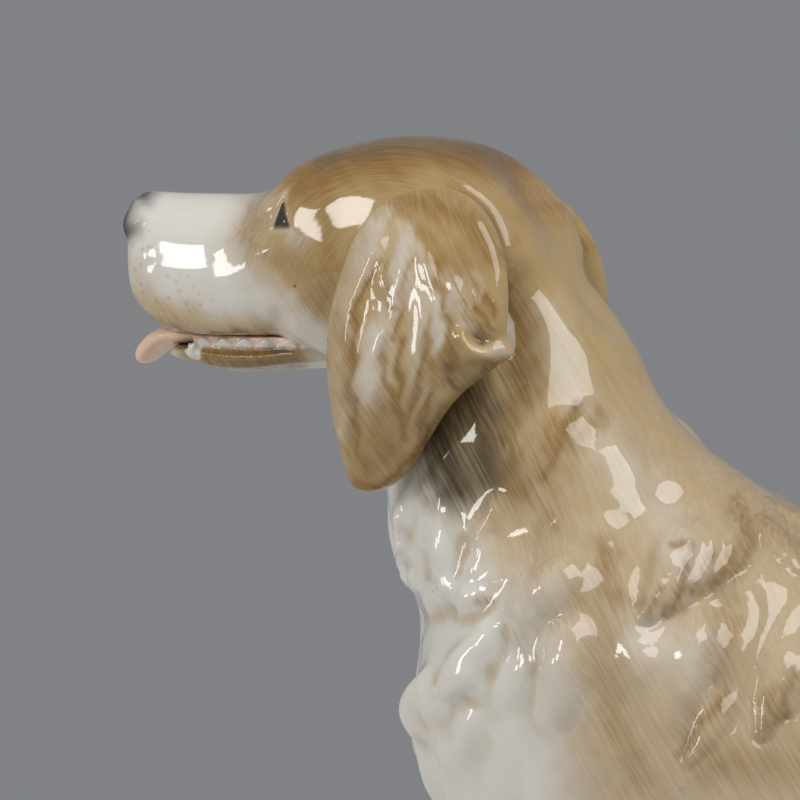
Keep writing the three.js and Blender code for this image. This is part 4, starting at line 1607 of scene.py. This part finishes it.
def make_jaw():
    mesh, fangs = jaw_skin()
    clay = Clay(mesh)
    clay.settle(JAW_ROUNDS)
    tooth = teeth(clay, Pins(clay))
    start, full = GUM_EDGE
    gums = smooth_step(JAW_HIGH.z + start, JAW_HIGH.z + full, clay.points[:, 2])
    clay.press(TOOTH_SWELL * tooth * gums)
    clay.write()
    paint = Paint(clay, 0.0)
    paint.dabs("wash", JAW_WASH)
    paint.dabs("stroke", JAW_STROKES)
    paint.dabs("shade", JAW_SHADES)
    gap = np.linalg.norm(clay.points[:, None, :] - fangs, axis=2).min(axis=1)
    fang = 1.0 - smooth_step(*FANG_FADE, gap)
    paint.layers["blush"] = gums * (1.0 - np.maximum(tooth, fang))
    for layer in ("wash", "stroke"):
        paint.layers[layer] *= 1.0 - np.maximum(gums, fang)
    paint.write()
    piece_object("lower_jaw_glazed", mesh, "lower_jaw", glaze(SLOT_OF["lower_jaw"]))


TONGUE_SWELL = 0.4 * MM  # how much thicker the tip is than its casting
TONGUE_TIP = (8 * MM, 14 * MM)  # behind the tip: where that starts to fade and ends
TONGUE_ROUNDS = 40
TONGUE_GROOVE = (0.1, 0.3, 0.5, 0.7)  # places of the middle groove, as shares of the tongue's length
TONGUE_GROOVE_RADIUS = 1.6 * MM
TONGUE_GROOVE_DEPTH = 0.5 * MM
PROBE_HEIGHT = 5 * MM  # from how far above the groove's places are looked for
# Painted shade: brown toward the tongue's shaded underside.
TONGUE_SHADE = (Dab(((150, 358), (162, 348), (172, 338)), 7, 0.35),)


def make_tongue():
    mesh = remeshed(castings(["tongue"], MOUTH_SWELL), sizes().mouth_grain)
    clay = Clay(mesh)
    clay.settle(TONGUE_ROUNDS)
    low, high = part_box("tongue")
    tree = clay.tree()
    relief = Relief(clay)
    line = []
    for share in TONGUE_GROOVE:
        above = Vector((low.x + (high.x - low.x) * share, MIDDLE, high.z + PROBE_HEIGHT))
        line.append(tree.ray_cast(above, Vector((0.0, 0.0, -1.0)))[0])
    fade, end = TONGUE_TIP
    relief.height += TONGUE_SWELL * (1.0 - smooth_step(low.x + fade, low.x + end, clay.points[:, 0]))
    relief.swell(Path(line), TONGUE_GROOVE_RADIUS, -TONGUE_GROOVE_DEPTH)
    relief.press()
    clay.write()
    paint = Paint(clay, 0.0)
    paint.layers["blush"] += 1.0
    paint.dabs("stroke", TONGUE_SHADE)
    paint.write()
    piece_object("tongue_glazed", mesh, "tongue", glaze(SLOT_OF["tongue"]))


# Glazes


class Board:
    """Places and links the nodes of a shader."""

    NOISE_DETAIL = 2.0
    FIRST_COLOUR, SECOND_COLOUR, MIXED_COLOUR = 6, 7, 2  # places of the colour sockets on a mix node

    def __init__(self, tree):
        self.tree = tree

    def node(self, kind, **settings):
        node = self.tree.nodes.new(kind)
        for name, value in settings.items():
            setattr(node, name, value)
        return node

    def set(self, socket, value):
        if isinstance(value, bpy.types.NodeSocket):
            self.tree.links.new(value, socket)
        else:
            socket.default_value = value

    def math(self, operation, *values):
        node = self.node("ShaderNodeMath", operation=operation)
        for socket, value in zip(node.inputs, values):
            self.set(socket, value)
        return node.outputs[0]

    def band(self, value, low, high):
        """0 below low, 1 above high and a soft slope between them."""
        node = self.node("ShaderNodeMapRange", interpolation_type="SMOOTHSTEP")
        self.set(node.inputs["Value"], value)
        node.inputs["From Min"].default_value = low
        node.inputs["From Max"].default_value = high
        return node.outputs["Result"]

    def mix(self, factor, first, second):
        node = self.node("ShaderNodeMix", data_type="RGBA", clamp_factor=True)
        self.set(node.inputs[0], factor)
        self.set(node.inputs[self.FIRST_COLOUR], first)
        self.set(node.inputs[self.SECOND_COLOUR], second)
        return node.outputs[self.MIXED_COLOUR]

    def blend(self, factor, first, second):
        node = self.node("ShaderNodeMix", data_type="FLOAT", clamp_factor=True)
        self.set(node.inputs[0], factor)
        self.set(node.inputs[2], first)
        self.set(node.inputs[3], second)
        return node.outputs[0]

    def attribute(self, name):
        return self.node("ShaderNodeAttribute", attribute_name=name)

    def turned(self, vector, turn):
        node = self.node("ShaderNodeMapping")
        self.set(node.inputs["Vector"], vector)
        node.inputs["Rotation"].default_value = turn
        return node.outputs[0]

    def stretched(self, vector, scale):
        node = self.node("ShaderNodeMapping")
        self.set(node.inputs["Vector"], vector)
        node.inputs["Scale"].default_value = scale
        return node.outputs[0]

    def noise(self, vector, scale):
        node = self.node("ShaderNodeTexNoise")
        self.set(node.inputs["Vector"], vector)
        node.inputs["Scale"].default_value = scale
        node.inputs["Detail"].default_value = self.NOISE_DETAIL
        return node.outputs["Fac"]


HAIR_ALONG = 26.0  # how many brush hairs a metre holds along and across the stroke
HAIR_ACROSS = 1000.0
HAIR_INWARD = 220.0  # fewer hairs going in from the side, so a stroke stays whole on a slope
HAIR_TURN = (0.0, math.radians(32.0), 0.0)  # the strokes on the body lean back going down
FROM_THE_SIDE = (math.radians(-90.0), 0.0, 0.0)  # turns the dog's side into a flat picture
COLOUR_NAMES = ("Porcelain", "Wash", "Stroke", "Shade", "Blush", "Ink")
BROAD_MARKS, FINE_MARKS = 0.5, 2.4  # how many times the hairs above
MOTTLE_SCALE = 90.0  # cells a metre
RIPPLE_SCALE = 240.0
FINE_SHARE, BROAD_SHARE = 0.6, 0.4  # what the streaks of a wash are made of
STREAK_BAND = (0.33, 0.67)  # where the light and the dark streaks end
LINE_BAND = (0.3, 0.7)
WASH_SWING, STROKE_SWING, SHADE_SWING = 0.42, 0.8, 0.9  # how unevenly each colour lies
SWING_ROOM = 1.25  # keeps a little of that where a colour is full
STROKE_STRENGTH = 0.9
BLUSH_LEAST, BLUSH_MOTTLE = 0.75, 0.4
FRECKLES = Scatter(470.0, 0.22, 0.8)
FRECKLE_STRENGTH = 0.26
SPECKS = Scatter(95.0, 0.035, 0.5)
SPECK_STRENGTH = 0.75
SPOT_CORE = 0.4  # the share of a spot's radius that is at full strength
RIPPLE_HEIGHT, HAIR_HEIGHT = 0.5, 0.12
GLOSS_LEAST, GLOSS_MOTTLE = 0.03, 0.05
BUMP_STRENGTH = 0.25
BUMP_DISTANCE = 0.2 * MM
GLAZE_IOR = 1.5


def hair_marks(board, place, factor):
    """Fine streaks that run down the body and round the skull."""
    leaning = board.turned(place, HAIR_TURN)
    straight = board.stretched(leaning, (HAIR_ACROSS, HAIR_INWARD, HAIR_ALONG))
    crown = board.attribute("crown").outputs["Vector"]
    curved = board.stretched(crown, (HAIR_ALONG, HAIR_ACROSS, HAIR_ACROSS))
    turn = board.attribute("turn").outputs["Fac"]
    return board.blend(
        turn,
        board.noise(straight, factor),
        board.noise(curved, factor),
    )


def spots(board, place, scatter, dimensions="3D"):
    """Small round spots in some cells of an even scatter."""
    cells = board.node("ShaderNodeTexVoronoi", voronoi_dimensions=dimensions)
    board.set(cells.inputs["Vector"], place)
    cells.inputs["Scale"].default_value = scatter.scale
    far = board.band(cells.outputs["Distance"], scatter.radius * SPOT_CORE, scatter.radius)
    near = board.math("SUBTRACT", 1.0, far)
    pick = board.node("ShaderNodeSeparateColor")
    board.set(pick.inputs[0], cells.outputs["Color"])
    chosen = board.math("LESS_THAN", pick.outputs[0], scatter.share)
    return board.math("MULTIPLY", near, chosen)


def uneven(board, amount, streak, swing):
    """An amount of colour that the brush's hairs lay on unevenly, most of all where it is thin."""
    room = board.math("MULTIPLY", amount, board.math("SUBTRACT", SWING_ROOM, amount))
    shift = board.math("MULTIPLY_ADD", streak, swing, -0.5 * swing)
    return board.math("MULTIPLY_ADD", room, shift, amount)


def brushed_colour(board, place, broad, fine, mottle):
    """The porcelain's colour under a wash with streaks, strokes, painted shade, blush, freckles, ink and
    specks.
    """
    given = board.node("NodeGroupInput").outputs
    amount = {name: board.attribute(name).outputs["Fac"] for name in Paint.LAYERS}
    marks = board.math("MULTIPLY_ADD", fine, FINE_SHARE, board.math("MULTIPLY", broad, BROAD_SHARE))
    streak = board.band(marks, *STREAK_BAND)
    lines = board.band(fine, *LINE_BAND)
    washed = uneven(board, amount["wash"], streak, WASH_SWING)
    colour = board.mix(washed, given["Porcelain"], given["Wash"])
    drawn = uneven(board, amount["stroke"], lines, STROKE_SWING)
    colour = board.mix(board.math("MULTIPLY", drawn, STROKE_STRENGTH), colour, given["Stroke"])
    shaded = uneven(board, amount["shade"], streak, SHADE_SWING)
    colour = board.mix(shaded, colour, given["Shade"])
    rosy = board.math("MULTIPLY_ADD", mottle, BLUSH_MOTTLE, BLUSH_LEAST)
    colour = board.mix(board.math("MULTIPLY", amount["blush"], rosy), colour, given["Blush"])
    flat = board.turned(place, FROM_THE_SIDE)
    freckles = board.math("MULTIPLY", spots(board, flat, FRECKLES, "2D"), amount["freckle"])
    colour = board.mix(board.math("MULTIPLY", freckles, FRECKLE_STRENGTH), colour, given["Stroke"])
    colour = board.mix(amount["ink"], colour, given["Ink"])
    specks = board.math("MULTIPLY", spots(board, place, SPECKS), SPECK_STRENGTH)
    return board.mix(specks, colour, given["Shade"])


def underglaze_group():
    """What is brushed on the porcelain, painted shade included, with the glaze's fine waves and its
    slightly uneven gloss.
    """
    group = bpy.data.node_groups.new("brushed_underglaze", "ShaderNodeTree")
    for name in COLOUR_NAMES:
        group.interface.new_socket(name, in_out="INPUT", socket_type="NodeSocketColor")
    group.interface.new_socket("Colour", in_out="OUTPUT", socket_type="NodeSocketColor")
    group.interface.new_socket("Gloss", in_out="OUTPUT", socket_type="NodeSocketFloat")
    group.interface.new_socket("Height", in_out="OUTPUT", socket_type="NodeSocketFloat")
    board = Board(group)
    place = board.node("ShaderNodeTexCoord").outputs["Object"]
    broad = hair_marks(board, place, BROAD_MARKS)
    fine = hair_marks(board, place, FINE_MARKS)
    mottle = board.noise(place, MOTTLE_SCALE)
    ripple = board.math("MULTIPLY", board.noise(place, RIPPLE_SCALE), RIPPLE_HEIGHT)
    height = board.math("ADD", ripple, board.math("MULTIPLY", fine, HAIR_HEIGHT))
    gloss = board.math("MULTIPLY_ADD", mottle, GLOSS_MOTTLE, GLOSS_LEAST)
    result = board.node("NodeGroupOutput")
    board.set(result.inputs["Colour"], brushed_colour(board, place, broad, fine, mottle))
    board.set(result.inputs["Gloss"], gloss)
    board.set(result.inputs["Height"], height)
    return group


GLAZE_NAMES = {
    "tan_glaze": "brushed_tan_glaze",
    "white_glaze": "clear_white_glaze",
    "pink_glaze": "brushed_pink_glaze",
}


def glaze_material(slot, group, porcelain):
    """A clear glaze over the brushed colours."""
    material = bpy.data.materials.new(GLAZE_NAMES[slot])
    material.use_nodes = True
    board = Board(material.node_tree)
    shader = material.node_tree.nodes["Principled BSDF"]
    under = board.node("ShaderNodeGroup", node_tree=group)
    brushed = colours()
    values = (porcelain, brushed.wash, brushed.stroke, brushed.shade, brushed.blush, brushed.ink)
    for name, value in zip(COLOUR_NAMES, values):
        under.inputs[name].default_value = (*value, 1.0)
    board.set(shader.inputs["Base Color"], under.outputs["Colour"])
    board.set(shader.inputs["Roughness"], under.outputs["Gloss"])
    bump = board.node("ShaderNodeBump")
    bump.inputs["Strength"].default_value = BUMP_STRENGTH
    bump.inputs["Distance"].default_value = BUMP_DISTANCE
    board.set(bump.inputs["Height"], under.outputs["Height"])
    board.set(shader.inputs["Normal"], bump.outputs["Normal"])
    shader.inputs["IOR"].default_value = GLAZE_IOR
    return material


def make_glazes():
    group = underglaze_group()
    glaze_material("tan_glaze", group, colours().porcelain)
    glaze_material("white_glaze", group, colours().porcelain)
    glaze_material("pink_glaze", group, colours().blush)


def glaze(slot):
    return bpy.data.materials[GLAZE_NAMES[slot]]


# The stage


SENSOR_WIDTH = 36.0  # mm
CLIP_START, CLIP_END = 0.01, 50.0
SOFTBOX_DISTANCE = 1.0
SOFTBOXES = (
    Softbox("key_softbox", -34.0, 26.0, 0.18, 0.27, 1.8),
    Softbox("low_softbox", -51.0, 15.0, 0.18, 0.24, 1.45),
    Softbox("rear_softbox", 70.0, 50.0, 0.80, 0.74, 8.0),
)
FLOOR_RADIUS = 0.6
FLOOR_DROP = 0.2 * MM
FLOOR_SIDES = 128
FLOOR_ROUGHNESS = 0.7
SKY_LIGHT = (0.25, 0.25, 0.26, 1.0)  # soft light from all round
FRONT_LIGHT = (0.68, 0.68, 0.69, 1.0)  # the same, from where the dog looks
FRONT_BAND = (0.2, -1.0)  # how far to the rear a direction points where the front light starts and is full


def add_camera():
    point = Viewpoint(outlook())
    lens = bpy.data.cameras.new("picture_camera")
    camera = bpy.data.objects.new("picture_camera", lens)
    bpy.context.scene.collection.objects.link(camera)
    lens.sensor_width = SENSOR_WIDTH
    lens.lens = lens.sensor_width / 2 / point.spread
    lens.clip_start = CLIP_START
    lens.clip_end = CLIP_END
    camera.location = point.place
    camera.rotation_euler = point.look.to_track_quat("-Z", "Y").to_euler()
    bpy.context.scene.camera = camera


def add_softbox(box):
    """A rectangular lamp that faces the dog's head."""
    lamp = bpy.data.lights.new(box.name, "AREA")
    lamp.shape = "RECTANGLE"
    lamp.size = box.width
    lamp.size_y = box.height
    lamp.energy = box.power
    obj = bpy.data.objects.new(box.name, lamp)
    bpy.context.scene.collection.objects.link(obj)
    turn, rise = math.radians(box.azimuth), math.radians(box.elevation)
    level = math.cos(rise)
    toward = Vector((math.sin(turn) * level, -math.cos(turn) * level, math.sin(rise)))
    obj.location = Vector(outlook().aim) + toward * SOFTBOX_DISTANCE
    obj.rotation_euler = toward.to_track_quat("Z", "Y").to_euler()


def make_floor():
    bm = bmesh.new()
    bmesh.ops.create_circle(bm, cap_ends=True, segments=FLOOR_SIDES, radius=FLOOR_RADIUS)
    bmesh.ops.translate(bm, verts=bm.verts, vec=Vector((0.0, 0.0, -FLOOR_DROP)))
    mesh = bpy.data.meshes.new("floor")
    bm.to_mesh(mesh)
    bm.free()
    material = bpy.data.materials.new("floor_paint")
    material.use_nodes = True
    shader = material.node_tree.nodes["Principled BSDF"]
    shader.inputs["Base Color"].default_value = (*colours().floor, 1.0)
    shader.inputs["Roughness"].default_value = FLOOR_ROUGHNESS
    mesh.materials.append(material)
    obj = bpy.data.objects.new("floor", mesh)
    bpy.context.scene.collection.objects.link(obj)


def make_world():
    """Soft light from all round, and a plain grey where the eye or the glaze looks past the dog."""
    world = bpy.data.worlds.new("studio")
    bpy.context.scene.world = world
    world.use_nodes = True
    board = Board(world.node_tree)
    path = board.node("ShaderNodeLightPath")
    seen = board.math("MAXIMUM", path.outputs["Is Camera Ray"], path.outputs["Is Glossy Ray"])
    seen = board.math("MAXIMUM", seen, path.outputs["Is Transmission Ray"])
    parts = board.node("ShaderNodeSeparateXYZ")
    board.set(parts.inputs[0], board.node("ShaderNodeTexCoord").outputs["Generated"])
    sky = board.mix(board.band(parts.outputs["X"], *FRONT_BAND), SKY_LIGHT, FRONT_LIGHT)
    shown = board.mix(seen, sky, (*colours().backdrop, 1.0))
    board.set(world.node_tree.nodes["Background"].inputs["Color"], shown)


def make_stage():
    make_floor()
    make_world()
    for box in SOFTBOXES:
        add_softbox(box)
    bpy.context.scene.view_settings.view_transform = "Standard"


# Operators and panel


class SPANIEL_OT_camera(bpy.types.Operator):
    """Sets up the picture's camera"""

    bl_idname = "spaniel.camera"
    bl_label = "Camera"

    def execute(self, context):
        add_camera()
        return {"FINISHED"}


class SPANIEL_OT_glazes(bpy.types.Operator):
    """Mixes the tan, white and pink glazes"""

    bl_idname = "spaniel.glazes"
    bl_label = "Glazes"

    def execute(self, context):
        make_glazes()
        return {"FINISHED"}


class SPANIEL_OT_body(bpy.types.Operator):
    """Models and paints the trunk, head, legs and tail"""

    bl_idname = "spaniel.body"
    bl_label = "Body"

    def execute(self, context):
        make_body()
        return {"FINISHED"}


class SPANIEL_OT_ears(bpy.types.Operator):
    """Models and paints both ears"""

    bl_idname = "spaniel.ears"
    bl_label = "Ears"

    def execute(self, context):
        make_ears()
        return {"FINISHED"}


class SPANIEL_OT_jaw(bpy.types.Operator):
    """Models and paints the lower jaw with its teeth"""

    bl_idname = "spaniel.jaw"
    bl_label = "Lower jaw"

    def execute(self, context):
        make_jaw()
        return {"FINISHED"}


class SPANIEL_OT_tongue(bpy.types.Operator):
    """Models and paints the tongue"""

    bl_idname = "spaniel.tongue"
    bl_label = "Tongue"

    def execute(self, context):
        make_tongue()
        return {"FINISHED"}


class SPANIEL_OT_stage(bpy.types.Operator):
    """Puts down the floor and sets the lights"""

    bl_idname = "spaniel.stage"
    bl_label = "Stage"

    def execute(self, context):
        make_stage()
        return {"FINISHED"}


OPERATORS = (
    SPANIEL_OT_camera,
    SPANIEL_OT_glazes,
    SPANIEL_OT_body,
    SPANIEL_OT_ears,
    SPANIEL_OT_jaw,
    SPANIEL_OT_tongue,
    SPANIEL_OT_stage,
)


class SPANIEL_PT_panel(bpy.types.Panel):
    """Lists the steps that make the spaniel"""

    bl_idname = "SPANIEL_PT_panel"
    bl_label = "Porcelain Spaniel"
    bl_space_type = "VIEW_3D"
    bl_region_type = "UI"
    bl_category = "Spaniel"

    def draw(self, context):
        for operator in OPERATORS:
            self.layout.operator(operator.bl_idname)


GROUPS = (SpanielSizes, SpanielColours, SpanielView)


def register():
    for kind in GROUPS + OPERATORS + (SPANIEL_PT_panel,):
        bpy.utils.register_class(kind)
    bpy.types.Scene.spaniel_sizes = PointerProperty(type=SpanielSizes)
    bpy.types.Scene.spaniel_colours = PointerProperty(type=SpanielColours)
    bpy.types.Scene.spaniel_view = PointerProperty(type=SpanielView)


def unregister():
    del bpy.types.Scene.spaniel_view
    del bpy.types.Scene.spaniel_colours
    del bpy.types.Scene.spaniel_sizes
    for kind in reversed(GROUPS + OPERATORS + (SPANIEL_PT_panel,)):
        bpy.utils.unregister_class(kind)


def main():
    register()
    bpy.ops.spaniel.camera()
    bpy.ops.spaniel.glazes()
    bpy.ops.spaniel.body()
    bpy.ops.spaniel.ears()
    bpy.ops.spaniel.jaw()
    bpy.ops.spaniel.tongue()
    bpy.ops.spaniel.stage()


if __name__ == "__main__":
    main()
